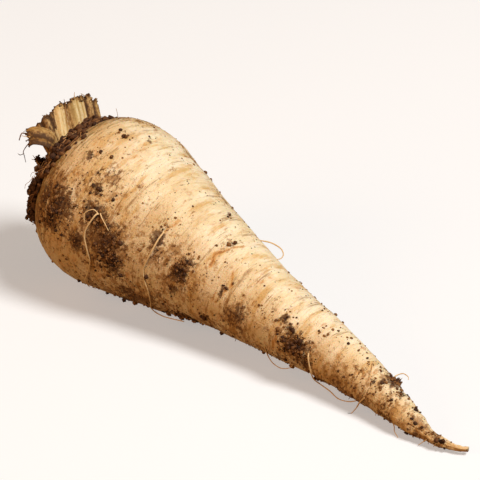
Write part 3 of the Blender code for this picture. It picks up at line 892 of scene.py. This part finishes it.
# %% The stalks' table
# each stalk: its path (out, near, up), its width and thickness in mm, its curl, which way
# it faces and how far its width swings out, in degrees, its ribs, and how stained it is
STALKS = {
    "top_right": (((-0.5, -3.2, 12.4), (5.4, -4.2, 15.2), (12.6, -6.0, 22.8)),
                  10.4, 3.6, 22, -11, 0, 1.0, 0.0),
    "top_left": (((-0.5, 5.0, 12.2), (5.2, 4.6, 14.8), (12.4, 2.6, 22.2)),
                 9.8, 3.8, 24, 9, 0, 1.0, 0.04),
    "brown": (((-0.5, 8.4, 9.8), (5.2, 8.8, 13.8), (12.0, 9.2, 21.0)),
              8.6, 3.0, 26, 25, 0, 2.6, 0.5),
    "curled": (((-0.5, 8.5, 8.5), (3.4, 9.4, 13.0), (5.6, 10.6, 17.6), (8.2, 12.8, 19.1),
                (10.6, 15.0, 19.1), (12.0, 16.4, 17.7)),
               16.5, 2.6, 14, 0, -46, 2.2, 0.30),
    "rib": (((-0.5, -8.6, 10.8), (5.4, -9.4, 14.4), (13.0, -11.6, 22.3)),
            7.4, 3.0, 24, -25, 0, 2.0, 0.36),
    "far": (((-0.5, -11.4, 8.4), (5.0, -13.0, 12.0), (12.4, -15.2, 19.6)),
            7.0, 2.8, 26, -38, 0, 2.0, 0.3),
    "far_low": (((-0.5, -12.0, -5.4), (12.0, -15.0, 6.4)), 5.4, 2.8, 40, -84, 0, 2.0, 0.3),
    "near": (((-0.5, 10.8, -6.6), (9.0, 12.2, -4.4)), 5.0, 2.8, 46, 110, 0, 2.0, 0.5),
    "low_near": (((-0.5, 5.0, -9.4), (14.0, 6.2, 0.6)), 6.0, 2.8, 46, 154, 0, 2.0, 0.4),
    "low": (((-0.5, -1.8, -10.2), (16.0, -1.6, 1.0)), 5.6, 2.8, 46, 186, 0, 2.0, 0.3),
    "low_far": (((-0.5, -7.8, -9.6), (13.5, -8.6, 1.6)), 4.4, 2.8, 46, 218, 0, 2.0, 0.4),
    "inner": (((-0.5, 2.0, 8.6), (5.4, 1.2, 12.0), (12.2, 0.4, 20.2)),
              9.6, 3.0, 24, 2, 0, 3.0, 0.5),
    "inner_far": (((-0.5, -6.4, 6.6), (5.4, -7.4, 11.0), (12.6, -8.4, 18.8)),
                  8.6, 3.0, 30, -22, 0, 3.0, 0.5),
    "heart": (((-0.5, 0.0, -3.0), (17.0, -0.6, 9.6)), 6.0, 3.2, 24, 176, 0, 2.0, 0.3),
}
print("widest stalk: %.1f mm" % max(row[1] for row in STALKS.values()))

# %% A stalk's path
STALK_BOW = 0.21                 # how far a two-point path bows square to the crown, as a share


def stalk_points(path):
    """The points of a stalk's path; one given by its two ends bows outwards."""
    points = [crown_point(*spot) for spot in path]
    if len(points) > 2:
        return points
    start, end = points
    bow = start * 0.75 + end * 0.25 + crown_way(1, 0, 0) * (STALK_BOW * (end - start).length)
    return [start, bow, end]


def stalk_frame(points, facing, swing, t):
    """A stalk's spot, side, back and way at a share of its length."""
    facing, swing = radians(facing), radians(swing)
    side = crown_way(sin(swing), cos(facing) * cos(swing), -sin(facing) * cos(swing))
    before, after = max(0.0, t - 0.02), min(1.0, t + 0.02)
    way = (smooth(points, after) - smooth(points, before)).normalized()
    outward = way.cross(side).normalized()
    return smooth(points, t), outward.cross(way), outward, way


for name in ("top_left", "heart"):
    path = stalk_points(STALKS[name][0])
    print("%s: %.1f mm long" % (name, (path[-1] - path[0]).length / MM))

# %% How a stalk's end is cut
STEEPEST = 0.4                   # a stalk that climbs less than this isn't cut square
SQUARE_REACH = 3.0               # the most that the square cut moves an end, mm
HOOD_UNEVEN = 2.2                # how many times more ragged the curled stalk's end is


def crown_level(spot):
    """How far out of the crown's face a spot is, in mm."""
    return (ORIGIN + crown_middle - spot).dot(crown_forward) / MM


def end_shift(corner, way, ring, cut_level, hood):
    """How far a corner of the end moves along the stalk, in mm: cut square, and uneven."""
    climb = way.dot(-crown_forward)
    short = 0.0
    if climb > STEEPEST and not hood:
        short = (cut_level - crown_level(corner)) / climb
    uneven = (0.7 * noise.noise(corner * 160) + 0.45 * noise.noise(corner * 600)
              + 0.35 * noise.noise(ring * 14))
    return min(SQUARE_REACH, max(-SQUARE_REACH, short)) + uneven * (HOOD_UNEVEN if hood else 1.0)


print("cut levels, mm:", [round(crown_level(stalk_points(row[0])[-1]), 1) for row in STALKS.values()])

# %% A stalk's section
STALK_RINGS = 36
STALK_SIDES = 72
WALL_SHARE = 0.88                # the share of the rings that make the outer wall
GROOVE_DEPTH = 1.3               # of the ribs, mm
FINE_RIBS = 5.4                  # fine ribs over half the width
FINE_DEPTH = 0.26                # mm
PITH_DEPTH = 0.9                 # mm
HOOD_DROP = 5.0                  # how far the curled stalk's far edge hangs, mm


def stalk_bmesh(points, width, thickness, curl, facing, swing, ribs, stain, seed):
    """One stalk: a ribbed crescent section that follows the stalk's path."""
    half = radians(curl)
    bend = width / (2 * sin(half))
    run = (points[-1] - points[0]).length
    cut_level = crown_level(points[-1])

    def place(lengthways, turn):
        wall = min(1.0, lengthways / WALL_SHARE)
        pith = max(0.0, (lengthways - WALL_SHARE) / (1 - WALL_SHARE))
        frayed = ramp(wall, 0.5, 1.0) ** 2
        spot, side, outward, way = stalk_frame(points, facing, swing, wall)
        across = cos(turn)
        ring = Vector((across, sin(turn), seed * 3.1))

        # where the corner is on the ribbed section, and how far the end's cut moves it
        wander = 0.25 * noise.noise(Vector((wall * 3, seed, across)))
        groove = (1 - abs(cos(pi / 2 * ribs * across))) ** 1.5
        fine = (1 - abs(cos(pi / 2 * FINE_RIBS * (across + wander) + seed))) ** 2
        depth = (GROOVE_DEPTH * groove + FINE_DEPTH * fine) * max(0.0, sin(turn)) ** 0.5
        strands = 0.20 * noise.noise(Vector((across * 11, wall * 2.5, seed)))
        kinks = 0.30 * noise.noise(Vector((wall * 4, across * 1.6, seed + 0.5)))
        angle = half * across * (1 - 0.10 * pith)
        reach = bend + (thickness / 2 * sin(turn) - depth + strands + kinks) * (1 - 0.5 * pith)
        spread = 0.80 + 0.20 * min(1.0, wall * 1.6)
        curling = 0.4 * frayed * noise.noise(ring * 2.0 + Vector((0, 0, wall * 2)))
        hang = HOOD_DROP * ((1 - across) / 2) ** 4 if swing else 0.0
        x, y = reach * sin(angle) * spread, reach * cos(angle) - bend + curling - hang
        corner = spot + (side * x + outward * y) * MM
        shift = end_shift(corner, way, ring, cut_level, bool(swing))
        corner += way * ((frayed * shift - PITH_DEPTH * pith) * MM)

        # how dark it is: dirt in the grooves, the inside and both ends; painted shade in the grooves and on
        # the hood's lower edge
        layout = Vector((0.0026 * cos(turn), 0.0026 * sin(turn), wall * run * 0.08 + seed * 0.05))
        end_stain = 1.3 * ramp(wall, 0.86, 1.0) ** 1.5
        end_stain = max(end_stain, 0.75 * pith, 0.7 * exp(-wall / 0.10))
        # the grooves darken partly as dirt and partly as painted shade
        ribbed = min(1.0, 0.9 * groove + 0.36 * fine) if sin(turn) > 0 else 0.6
        # painted shade on the hood's lower edge, where its hollow lies in shade
        under = 0.8 * max(0.0, across) ** 3 if swing else 0.0
        return corner, layout, min(1.0, ribbed + end_stain + stain + under)

    return rolled(STALK_RINGS, STALK_SIDES, place)


print("a stalk has %d rings of %d corners" % (STALK_RINGS + 1, STALK_SIDES))

# %% [markdown]
# ### The stalks' finish
# Dried stalks are straw that still holds some olive, with fine strands along them, and dirt in the grooves
# and at the cut. The rib tops carry a painted highlight. The grooves carry painted shade as well as dirt, and
# the curled stalk's lower edge carries painted shade. The strands are a noise on the stalk's own layout,
# which is squeezed lengthways, so that it draws out into threads. The `tone` from the shape says where the
# grooves, the dirt and the painted shade are, and a second noise breaks its edges up.

# %% Stalk material
stalk_skin, tree, shader = new_material("dried_leaf_stalk", Metallic=0.0, Roughness=0.72,
                                        Specular_IOR_Level=0.3, Subsurface_Weight=0.05,
                                        Subsurface_Scale=0.001)
# where it starts and is full, its strength and its colour, on the tone with its weight
WEAR_DIRT_AND_PAINTED_LIGHT = ((-1.6, 0.20, 0.55, 0.55, "F4E3B8"),        # painted highlight on the rib tops
        (0.55, 0.60, 0.84, 0.85, "8A6030"),        # brown grooves: dirt and painted shade
        (0.55, 0.80, 1.00, 0.90, "452A16"))        # dirt and the cut ends
grain_out = add_node(tree, "Attribute", attribute_name="grain").outputs["Vector"]
tone_out = add_node(tree, "Attribute", attribute_name="tone").outputs["Fac"]
place_out = add_node(tree, "TexCoord").outputs["Object"]
strands = add_node(tree, "TexNoise", {"Vector": grain_out, "Scale": 1 / (1.1 * MM), "Detail": 3,
                                      "Roughness": 0.65}).outputs["Fac"]
colour = add_node(tree, "ValToRGB", {"Fac": strands}, stops=(
    (0.28, "84592E"), (0.40, "B0834A"), (0.50, "D0A86C"), (0.60, "E6C78E"), (0.74, "B68A50"))).outputs[0]
tints = add_node(tree, "TexNoise", {"Vector": grain_out, "Scale": 1 / (3.0 * MM), "Detail": 2}).outputs["Fac"]
olive = add_node(tree, "MapRange", {"Value": tints, "From Min": 0.55, "From Max": 0.68,
                                    "To Max": 0.30}).outputs[0]
colour = laid_over(tree, colour, olive, "8E8440")
dirt = add_node(tree, "TexNoise", {"Vector": place_out, "Scale": 1 / (1.3 * MM), "Detail": 6,
                                   "Roughness": 0.7}).outputs["Fac"]
for weight, start, full, strength, hex_colour in WEAR_DIRT_AND_PAINTED_LIGHT:
    wear_and_light_level = add_node(tree, "Math", {0: tone_out, 1: weight, 2: dirt}, operation='MULTIPLY_ADD').outputs[0]
    mask = add_node(tree, "MapRange", {"Value": wear_and_light_level, "From Min": start, "From Max": full,
                                       "To Max": strength}, interpolation_type='SMOOTHSTEP').outputs[0]
    colour = laid_over(tree, colour, mask, hex_colour)
tree.links.new(colour, shader.inputs["Base Color"])
fine = add_node(tree, "TexNoise", {"Vector": grain_out, "Scale": 1 / (0.35 * MM), "Detail": 3}).outputs["Fac"]
height = add_node(tree, "Math", {0: dirt, 1: 0.6, 2: fine}, operation='MULTIPLY_ADD').outputs[0]
bump = add_node(tree, "Bump", {"Height": height, "Strength": 0.7, "Distance": 0.3 * MM})
tree.links.new(bump.outputs[0], shader.inputs["Normal"])
print("stalk nodes:", len(tree.nodes))

# %% Stalk pieces
END_FIBRES = 6                   # dried threads at each cut end
CRUMBS_PER_WIDTH = 3.5           # specks of soil on a cut end, to a millimetre of width
RIM_DEPTH = 0.4 * MM             # how far below its end a stalk's rim still counts


def add_end_fibres(bm, rim, side, outward, way, rng):
    """Threads that stand out of a cut end."""
    for _ in range(END_FIBRES):
        start = rng.choice(rim) - way * MM
        lean = side * rng.uniform(-0.5, 0.5) + outward * rng.uniform(-0.4, 0.8) + way
        reach = rng.uniform(1.2, 2.6) * MM
        bent = side * rng.uniform(-0.5, 0.5) + outward * rng.uniform(-0.5, 0.5)
        route = [start + lean * (reach * j / 3) + bent * (reach * 0.2 * j * (j - 1) / 2) for j in range(4)]
        add_fibre(bm, route, 0.20 * MM, 0.08 * MM, rng.uniform(0.3, 0.95), rings=6)


for seed, (name, row) in enumerate(STALKS.items()):
    path, width, thickness, curl, facing, swing, ribs, stain = row
    points = stalk_points(path)
    bm = stalk_bmesh(points, width, thickness, curl, facing, swing, ribs, stain, seed)
    spot, side, outward, way = stalk_frame(points, facing, swing, 1.0)
    rim = [vert.co.copy() for vert in bm.verts if (vert.co - spot).dot(way) > -RIM_DEPTH]
    rng = Random(40 + seed)
    add_end_fibres(bm, rim, side, outward, way, rng)
    for _ in range(int(CRUMBS_PER_WIDTH * width)):
        add_crumb(bm, rng.choice(rim), way, rng.uniform(0.22, 0.6) * MM, rng, darkest=0.75)
    piece = add_piece("cut_stalk_" + name, bm, stalk_skin)
    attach(piece, "root")
    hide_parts("leaf_stalk_" + name)
print("stalks:", len(STALKS), "of", len(piece.data.polygons), "faces")

# %% [markdown]
# ## The soil
# Damp loam is near black where it is thick and brown where it thins out and dries. It is a
# heap of crumbs, from fine grit up to a millimetre or two, never a smooth lump. One lump
# with a displaced surface would look like putty. So a clod here is a low, ragged base from
# an icosphere, and over it lie crumbs: icospheres of only twenty faces each, knocked out
# of round, because there are thousands of them.

# %% Soil material
loam, tree, shader = new_material("damp_garden_loam", Metallic=0.0, Roughness=0.93,
                                  Specular_IOR_Level=0.25)
tone_out = add_node(tree, "Attribute", attribute_name="tone").outputs["Fac"]
place_out = add_node(tree, "TexCoord").outputs["Object"]
grit = add_node(tree, "TexNoise", {"Vector": place_out, "Scale": 1 / (0.9 * MM), "Detail": 6,
                                   "Roughness": 0.7}).outputs["Fac"]
mixed = add_node(tree, "Math", {0: tone_out, 1: 0.75, 2: grit}, operation='MULTIPLY_ADD').outputs[0]
colour = add_node(tree, "ValToRGB", {"Fac": mixed}, stops=(
    (0.40, "30201A"), (0.58, "4A3022"), (0.78, "6C482C"), (1.0, "94693E"))).outputs[0]
tree.links.new(colour, shader.inputs["Base Color"])
bump = add_node(tree, "Bump", {"Height": grit, "Strength": 0.9, "Distance": 0.5 * MM})
tree.links.new(bump.outputs[0], shader.inputs["Normal"])
print("soil nodes:", len(tree.nodes))

# %% A clod's base
BASE_SHARE = 0.38                # the clod's base, as a share of the whole clod
FOOT = 0.25                      # the share of the ball below which it is pressed flat


def add_clod_base(bm, along, around, length, width, height, seed):
    """A low lump with a ragged edge and a broken top, bent to lie on the skin."""
    lump = new_bmesh()
    tone_layer = lump.verts.layers.float["tone"]
    shift = Vector((seed * 7.3, 0, 0))
    bmesh.ops.create_icosphere(lump, subdivisions=5, radius=1.0)
    for vert in lump.verts:
        ragged = 1 + 0.42 * noise.noise(vert.co * 1.7 + shift) + 0.30 * noise.noise(vert.co * 5 + shift)
        x, y, z = vert.co * ragged
        broken = 0.6 + 0.7 * noise.noise(vert.co * 6 + shift) + 0.4 * noise.noise(vert.co * 14 + shift)
        level = (z - FOOT) * (height * max(0.15, broken) if z > FOOT else 0.4)
        turn = around - y * width * BASE_SHARE * MM / radius(along, around)
        vert.co = on_skin(along + x * length * BASE_SHARE * MM, turn, level * MM)[0]
        vert[tone_layer] = max(0.0, 0.30 + 0.9 * noise.noise(vert.co * 700))
    put_in(lump, bm)


print("clod base is ready")

# %% Clods on the skin
# size of each of the frame's clods: half length, half width and height in mm
CLODS = {
    "shoulder": (6.5, 4.0, 1.3), "belly": (6.0, 6.5, 1.2), "crown": (5.0, 6.5, 1.2),
    "middle": (4.5, 4.0, 1.2), "large": (7.0, 5.5, 1.7), "lower": (6.5, 2.6, 1.0),
    "upper": (4.6, 2.8, 2.6), "top": (2.6, 2.4, 1.4), "tail": (2.6, 1.9, 1.3),
    "back": (6.0, 4.5, 1.2), "back_low": (5.0, 4.0, 1.1),
}
CRUMBS_PER_AREA = 2.4            # crumbs to a square millimetre of clod
for seed, (name, (length, width, height)) in enumerate(CLODS.items()):
    low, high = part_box("soil_clod_" + name)
    along, around = spot_of((low + high) / 2)
    bm = new_bmesh()
    add_clod_base(bm, along, around, length, width, height, seed)
    rng = Random(70 + seed)
    for _ in range(int(CRUMBS_PER_AREA * length * width)):
        aside = rng.gauss(0, 0.62), rng.gauss(0, 0.62)
        size = 0.20 + 0.45 * rng.random() ** 1.6 + 0.35 * (rng.random() < 0.10)
        spot, normal = on_skin(along + aside[0] * length * MM,
                               around + aside[1] * width * MM / radius(along, around),
                               max(0.0, 0.55 - 0.9 * Vector(aside).length) * height * MM)
        add_crumb(bm, spot, normal, size * MM, rng)
    piece = add_piece("soil_patch_" + name, bm, loam)
    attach(piece, "root")
    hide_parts("soil_clod_" + name)
print("clods:", len(CLODS))

# %% [markdown]
# ### Loose crumbs
# Between the clods the skin carries single crumbs. The soil patches have the most, a few
# large ones lie where their rows say, and the rest are strewn in clusters over the dirtier
# parts. They are one piece, because none of them matters by itself. Instances of one
# crumb would be lighter, but an exported model needs real faces.

# %% Crumbs of the soil patches
bm = new_bmesh()
rng = Random(11)
for place, turn, length, width, strength in SOIL:
    for _ in range(int(0.5 * strength * length * width / MM**2) + 3):
        along = place + rng.gauss(0, 0.75) * length
        around = turn + rng.gauss(0, 0.75) * width / round_radius(place)
        if not -CROWN_BACK + MM < along < LENGTH - MM:
            continue
        size = rng.uniform(0.15, 0.48) + 0.35 * (rng.random() < 0.10)
        add_crumb(bm, *on_skin(along, around), size * MM, rng)
print("crumbs of the patches: %d faces" % len(bm.faces))

# %% Large and strewn crumbs
# the largest single crumbs: along mm, around degrees, radius mm
PEBBLES = (
    (98, -43, 0.8), (102, -43, 0.55), (112, 6, 0.7), (116, 0, 0.6), (120, -2, 0.65), (126, -8, 0.6),
    (116, 68, 0.6), (108, 128, 0.6), (8, 26, 0.85), (4, 9, 0.8), (1, 6, 0.75), (10, 48, 0.8),
    (58, 5, 0.75), (57, 12, 0.5), (16, 62, 0.7), (2, 76, 0.8), (0, 60, 0.7), (14, 50, 0.6),
    (68, 48, 0.6), (67, 58, 0.7), (55, 24, 0.5), (39, 92, 0.9), (90, 66, 0.8), (88, 56, 0.7),
    (62, 112, 1.0), (137, -8, 0.6), (144, -24, 0.9), (143, -34, 0.7), (145, -38, 0.55),
    (137, 36, 0.5), (150, 30, 0.7), (128, -40, 0.8), (130.5, -46, 0.9), (132, -38, 0.7),
    (129, -30, 0.7), (133, -48, 0.5), (30, -96, 0.8), (60, -60, 0.6), (80, -100, 0.8),
    (20, -70, 0.8), (100, -130, 0.7), (-5, -60, 0.8), (40, -150, 0.9), (26, 142, 1.0),
    (30, 144, 1.2), (44, 144, 0.9), (49, 145, 1.1), (54, 145, 1.0), (66, 143, 0.9),
    (84, 140, 0.8), (104, 116, 0.7), (123, 112, 0.8), (135, 110, 0.7), (146, 130, 0.7),
)
STREWN = 5200                    # spots tried; most are too clean to hold a crumb
CLUSTER = 150                    # the clusters' noise, in waves to a metre
for along, around, size in PEBBLES:
    add_crumb(bm, *on_skin(along * MM, radians(around)), size * MM, rng, palest=0.6)
for _ in range(STREWN):
    along = -0.016 + 0.176 * rng.random() ** 1.1
    around = rng.uniform(0, tau)
    dirty = 0.20 + 0.7 * cover(FILM, along, around) + 0.35 * max(0.0, -cos(around)) + 0.2 * (along > 0.12)
    dirty *= max(0.0, 0.2 + 4.0 * noise.noise(straightened(along, around) * CLUSTER))
    if rng.random() > dirty:
        continue
    size = 0.13 + 0.42 * rng.random() ** 2.5
    add_crumb(bm, *on_skin(along, around), size * MM, rng, darkest=0.35)
piece = add_piece("loose_soil_crumbs", bm, loam)
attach(piece, "root")
print("loose crumbs: %d faces" % len(piece.data.polygons))

# %% [markdown]
# ## The ring of soil round the crown
# Soil packs into the sunken ring where the stalks meet the shoulder, matted with fine
# roots. It is thickest below and spills farthest over the shoulder on the near side. A
# torus would be too even, so the band is a grid rolled both ways, into a ring: one edge
# lies on the crown, the other on the shoulder, and noise breaks its top. Crumbs and tan
# fibres cover it, and some overhang.

# %% The band's outline
COLLAR_INNER = 0.0150
COLLAR_OUTER = 0.0232
COLLAR_LIMIT = 0.0302            # the farthest that it spills, just inside the shoulder's edge
COLLAR_THICKNESS = 0.0036
TOP_WAY = 0.35                   # around, in radians, where the band is wide and low
SPILL_WAY = 0.62                 # around, where it spills over the shoulder
SPILL_SPAN = 0.55
flat_reach = round_radius(-CROWN_BACK)


def on_crown(reach, around, height=0.0):
    """A point above the crown's face or the shoulder, `reach` from the axis, and the way out."""
    if reach <= flat_reach:
        out = crown_up * cos(around) + crown_near * sin(around)
        return ORIGIN + crown_middle + out * reach - crown_forward * height, -crown_forward
    along = -SHOULDER_DEPTH * sqrt(max(0.0, 1 - (reach / SHOULDER_RADIUS) ** 2))
    return on_form(along, around, height)


def collar_spill(around):
    """How far an angle is in the band's wide, low part, and in its spill."""
    top = max(0.0, cos(around - TOP_WAY)) ** 2
    return top, exp(-(((around + pi) % tau - pi - SPILL_WAY) / SPILL_SPAN) ** 2)


def collar_edges(around):
    """The band's inner and outer reach at an angle."""
    ring = Vector((cos(around), sin(around), 0))
    ragged = (1 + 0.06 * noise.noise(ring * 2.4) + 0.05 * noise.noise(ring * 9)
              + 0.03 * noise.noise(ring * 25))
    top, spill = collar_spill(around)
    inner = COLLAR_INNER * (1 - 0.13 * max(0.0, -cos(around)) ** 2) + 0.0032 * spill
    return inner, min(COLLAR_LIMIT, COLLAR_OUTER * ragged + 0.0016 * top + 0.0042 * spill)


def collar_height(reach, around, share):
    """The band's thickness at a share of its width."""
    ring = Vector((reach * 160, cos(around) * 3.1, sin(around) * 3.1))
    crest = sin(pi * (0.06 + 0.88 * share)) ** 0.7
    broken = (0.75 + 0.7 * noise.noise(ring) + 0.6 * noise.noise(ring * 3.1)
              + 0.5 * noise.noise(Vector((reach * 1500, cos(around) * 30, sin(around) * 30))))
    top, spill = collar_spill(around)
    low = 1 - 0.30 * top - 0.25 * spill
    return COLLAR_THICKNESS * low * crest * max(0.12, broken)


print("band, mm:", [round(edge / MM, 1) for edge in collar_edges(0.0)], "from the axis on top")

# %% The band
COLLAR_STEPS = 300
COLLAR_SIDES = 40
SUNK = 0.4 * MM                  # how far the band's underside lies in the skin


def collar_place(lengthways, turn):
    """Where a corner of the band lies: the first half of a turn is its underside."""
    around = tau * (lengthways % 1.0)
    inner, outer = collar_edges(around)
    share = 1 - abs(turn / pi - 1)
    reach = inner + (outer - inner) * share
    level = collar_height(reach, around, share) if turn > pi else -SUNK
    spot, _ = on_crown(reach, around, level)
    return spot, spot.copy(), max(0.0, 0.12 + 0.7 * noise.noise(spot * 600))


bm = rolled(COLLAR_STEPS, COLLAR_SIDES, collar_place)
piece = add_piece("crown_soil", bm, loam)
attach(piece, "root")
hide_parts("soil_collar")
print("soil band: %d faces" % len(piece.data.polygons))

# %% Crumbs of the band
COLLAR_CRUMBS = 1500
bm = new_bmesh()
rng = Random(23)
for _ in range(COLLAR_CRUMBS):
    around = rng.uniform(0, tau)
    inner, outer = collar_edges(around)
    share = rng.triangular(-0.05, 1.12, 0.6)
    reach = inner + (outer - inner) * share
    level = collar_height(reach, around, min(1.0, max(0.0, share))) if share < 1.0 else 0.0
    size = rng.uniform(0.35, 0.95) + 0.7 * (rng.random() < 0.15)
    add_crumb(bm, *on_crown(reach, around, level * 1.05), size * MM, rng, palest=0.5)
piece = add_piece("crown_soil_crumbs", bm, loam)
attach(piece, "root")
print("band crumbs: %d faces" % len(piece.data.polygons))

# %% [markdown]
# ## Rootlets and hairs
# The root's side roots are threads half a millimetre thick, cream at first and tan at the
# tip. They leave the skin where soil holds them, lie over it in slack curves, and a few
# stand clear of it. Hair particles would do for a render alone, but they don't export. So
# all are tapering tubes along smooth paths, and each path is a row of spots given by
# `along`, `around` and a height over the skin.

# %% Fibre material
fibre, tree, shader = new_material("fibrous_side_root", Metallic=0.0, Roughness=0.6,
                                   Specular_IOR_Level=0.35)
tone_out = add_node(tree, "Attribute", attribute_name="tone").outputs["Fac"]
grain_out = add_node(tree, "Attribute", attribute_name="grain").outputs["Vector"]
bands = add_node(tree, "TexNoise", {"Vector": grain_out, "Scale": 1 / (0.8 * MM), "Detail": 3}).outputs["Fac"]
mixed = add_node(tree, "Math", {0: bands, 1: 0.45, 2: tone_out}, operation='MULTIPLY_ADD').outputs[0]
colour = add_node(tree, "ValToRGB", {"Fac": mixed}, stops=(
    (0.15, "F0D6A6"), (0.45, "DDB680"), (0.75, "B07C48"), (1.0, "7A4F2C"))).outputs[0]
tree.links.new(colour, shader.inputs["Base Color"])
bump = add_node(tree, "Bump", {"Height": bands, "Strength": 0.5, "Distance": 0.1 * MM})
tree.links.new(bump.outputs[0], shader.inputs["Normal"])
print("fibre nodes:", len(tree.nodes))

# %% The eight large rootlets
# each: its routes, as (along mm, around degrees, height over the skin mm), and their radius
SIDE_ROOTS = {
    "shoulder": ((((16.5, 62, 0.3), (16, 64, 1.2), (15, 74, 1.1), (15, 80, 0.9), (16, 86, 0.7),
                   (17, 92, 0.5), (18, 99, 0.5), (17, 110, 0.6), (14, 124, 0.8), (11.5, 140, 0.6)), 0.32),
                 (((16.5, 62, 0.3), (14.5, 61, 1.0), (12.5, 66, 0.9), (13.5, 72, 0.4)), 0.2)),
    "middle": ((((38.5, 46, 0.1), (38.5, 54, 0.7), (38.5, 64, 1.0), (38, 74, 0.7), (37.5, 86, 0.5),
                 (38.5, 96, 0.4), (40, 106, 0.5), (40.5, 120, 0.6), (39, 136, 0.7), (42, 145, 1.4),
                 (50, 146, 1.2)), 0.32),),
    "short": ((((17, 61, 0.3), (18.5, 63, 1.1), (20.5, 66, 0.9), (22, 69, 0.2)), 0.26),),
    "large_clod": ((((103.5, 72, 0.3), (104.5, 82, 1.0), (106, 104, 0.8), (107, 124, 0.9),
                     (109.5, 138, 1.2), (113, 140, 1.9), (117, 140, 2.4), (121, 138, 1.6),
                     (125, 120, 0.4)), 0.27),
                   (((86.5, 112, 0.2), (87, 134, 0.9), (89, 140, 2.0), (92.5, 140, 2.3),
                     (95.5, 138, 1.2), (97.5, 124, 0.2)), 0.2)),
    "upper": ((((59, -38, 0.1), (59.6, -48, 1.6), (61.2, -52, 2.8), (64, -53, 3.4), (66.6, -51, 2.6),
                (68, -46, 1.1), (68.4, -38, 0.1)), 0.28),),
    "tail": ((((128.5, 88, 0.1), (127, 112, 0.8), (125.5, 134, 1.8), (124.5, 140, 3.8),
               (123.5, 142, 6.0)), 0.26),
             (((122, -8, 0.1), (125, 16, 0.9), (127, 36, 0.8), (128, 48, 0.2)), 0.18),
             (((129.5, -34, 0.3), (129, -46, 2.0), (129.6, -50, 3.8), (131.6, -50, 4.4),
               (132.6, -49, 3.6)), 0.2),
             (((141, 104, 0.1), (141.5, 124, 0.8), (142, 134, 2.0), (144, 138, 2.8)), 0.18),
             (((153, 104, 0.1), (152, 128, 0.8), (151, 138, 2.2)), 0.16)),
    "back": ((((46, -78, 0.2), (44.5, -90, 0.7), (46.5, -104, 0.5), (45, -122, 0.4)), 0.34),),
    "back_tail": ((((112, -74, 0.2), (114, -92, 0.8), (111, -112, 0.6), (113, -132, 0.4)), 0.28),),
}
RINGS_PER_SPOT = 8
for seed, (name, routes) in enumerate(SIDE_ROOTS.items()):
    bm = new_bmesh()
    for route, thick in routes:
        points = [on_skin(along * MM, radians(around), height * MM)[0]
                  for along, around, height in route]
        add_fibre(bm, points, thick * MM, thick * MM * 0.55, 0.05 + 0.02 * seed,
                  rings=RINGS_PER_SPOT * len(points), sides=8)
    piece = add_piece("side_root_" + name, bm, fibre)
    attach(piece, "root")
    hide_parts("rootlet_" + name)
print("side roots:", len(SIDE_ROOTS))

# %% [markdown]
# ### Hairs
# Finer hairs mat the soil ring and edge the tail. They are too many and too thin to be
# placed one by one, so each starts at a random spot and drifts, with every sixth or so
# lifting clear of the soil. Three long stray ones at the curled stalk have their own paths.

# %% Hairs in the soil ring
RING_HAIRS = 210
HAIR_SPOTS = 5                   # points to a hair's path
LOOSE_SHARE = 0.16               # the share of hairs that lift clear
bm = new_bmesh()
rng = Random(31)
for _ in range(RING_HAIRS):
    around = rng.uniform(0, tau)
    inner, outer = collar_edges(around)
    share = rng.uniform(0.0, 1.0)
    turn_step = 0.5 * rng.choice((-1, 1)) * rng.uniform(0.04, 0.16)
    drift = rng.uniform(-0.25, 0.3)
    loose = rng.random() < LOOSE_SHARE
    points = []
    for j in range(HAIR_SPOTS):
        across = share + drift * j / (HAIR_SPOTS - 1)
        reach = inner + (outer - inner) * across
        lift = collar_height(reach, around, min(1.0, max(0.0, across))) + rng.uniform(0.1, 0.7) * MM
        if loose:
            lift += j * rng.uniform(0.5, 1.1) * MM
        points.append(on_crown(reach, around + turn_step * j, lift)[0])
    add_fibre(bm, points, rng.uniform(0.10, 0.24) * MM, 0.07 * MM, rng.uniform(0.25, 1.0), rings=8)
print("ring hairs: %d faces" % len(bm.faces))

# %% Stray fibres at the curled stalk
# their paths (out, near, up) from the middle of the crown, and their radius, in mm
STRAY_FIBRES = (
    (((11.0, 14.6, 16.6), (12.2, 17.4, 17.4), (12.2, 19.2, 17.9), (12.2, 20.0, 15.4)), 0.3),
    (((11.4, 15.6, 13.6), (12.2, 17.2, 10.0), (12.2, 16.4, 7.4), (12.2, 15.4, 4.6)), 0.18),
    (((11.8, 17.2, 9.2), (12.4, 18.4, 8.6), (12.6, 19.4, 9.4)), 0.16),
)
for path, thick in STRAY_FIBRES:
    add_fibre(bm, [crown_point(*spot) for spot in path], thick * MM, 0.6 * thick * MM, 0.9, rings=14)
piece = add_piece("crown_soil_hairs", bm, fibre)
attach(piece, "root")
print("ring hairs and stray fibres: %d faces" % len(piece.data.polygons))

# %% Hairs on the skin
SKIN_HAIRS = 60
HAIR_DEPTH = 0.1 * MM            # how far a hair's foot is in the skin
bm = new_bmesh()
rng = Random(37)
for _ in range(SKIN_HAIRS):
    along = rng.uniform(0.01, 0.16)
    around = rng.choice((radians(rng.uniform(100, 175)), rng.uniform(0, tau)))
    spot, normal = on_skin(along, around, -HAIR_DEPTH)
    forward = axis_at(along)[1]
    aside = normal.cross(forward)
    reach = rng.uniform(0.6, 2.0) * MM
    lean = normal * 0.7 + forward * rng.uniform(-1, 1) + aside * rng.uniform(-1, 1)
    curl = forward * rng.uniform(-0.6, 0.6) + aside * rng.uniform(-0.6, 0.6)
    points = [spot, spot + lean * reach * 0.5, spot + lean * reach * 0.8 + curl * reach * 0.5]
    add_fibre(bm, points, 0.13 * MM, 0.05 * MM, rng.uniform(0.2, 0.9), rings=5)
piece = add_piece("skin_hairs", bm, fibre)
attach(piece, "root")
print("skin hairs: %d faces" % len(piece.data.polygons))
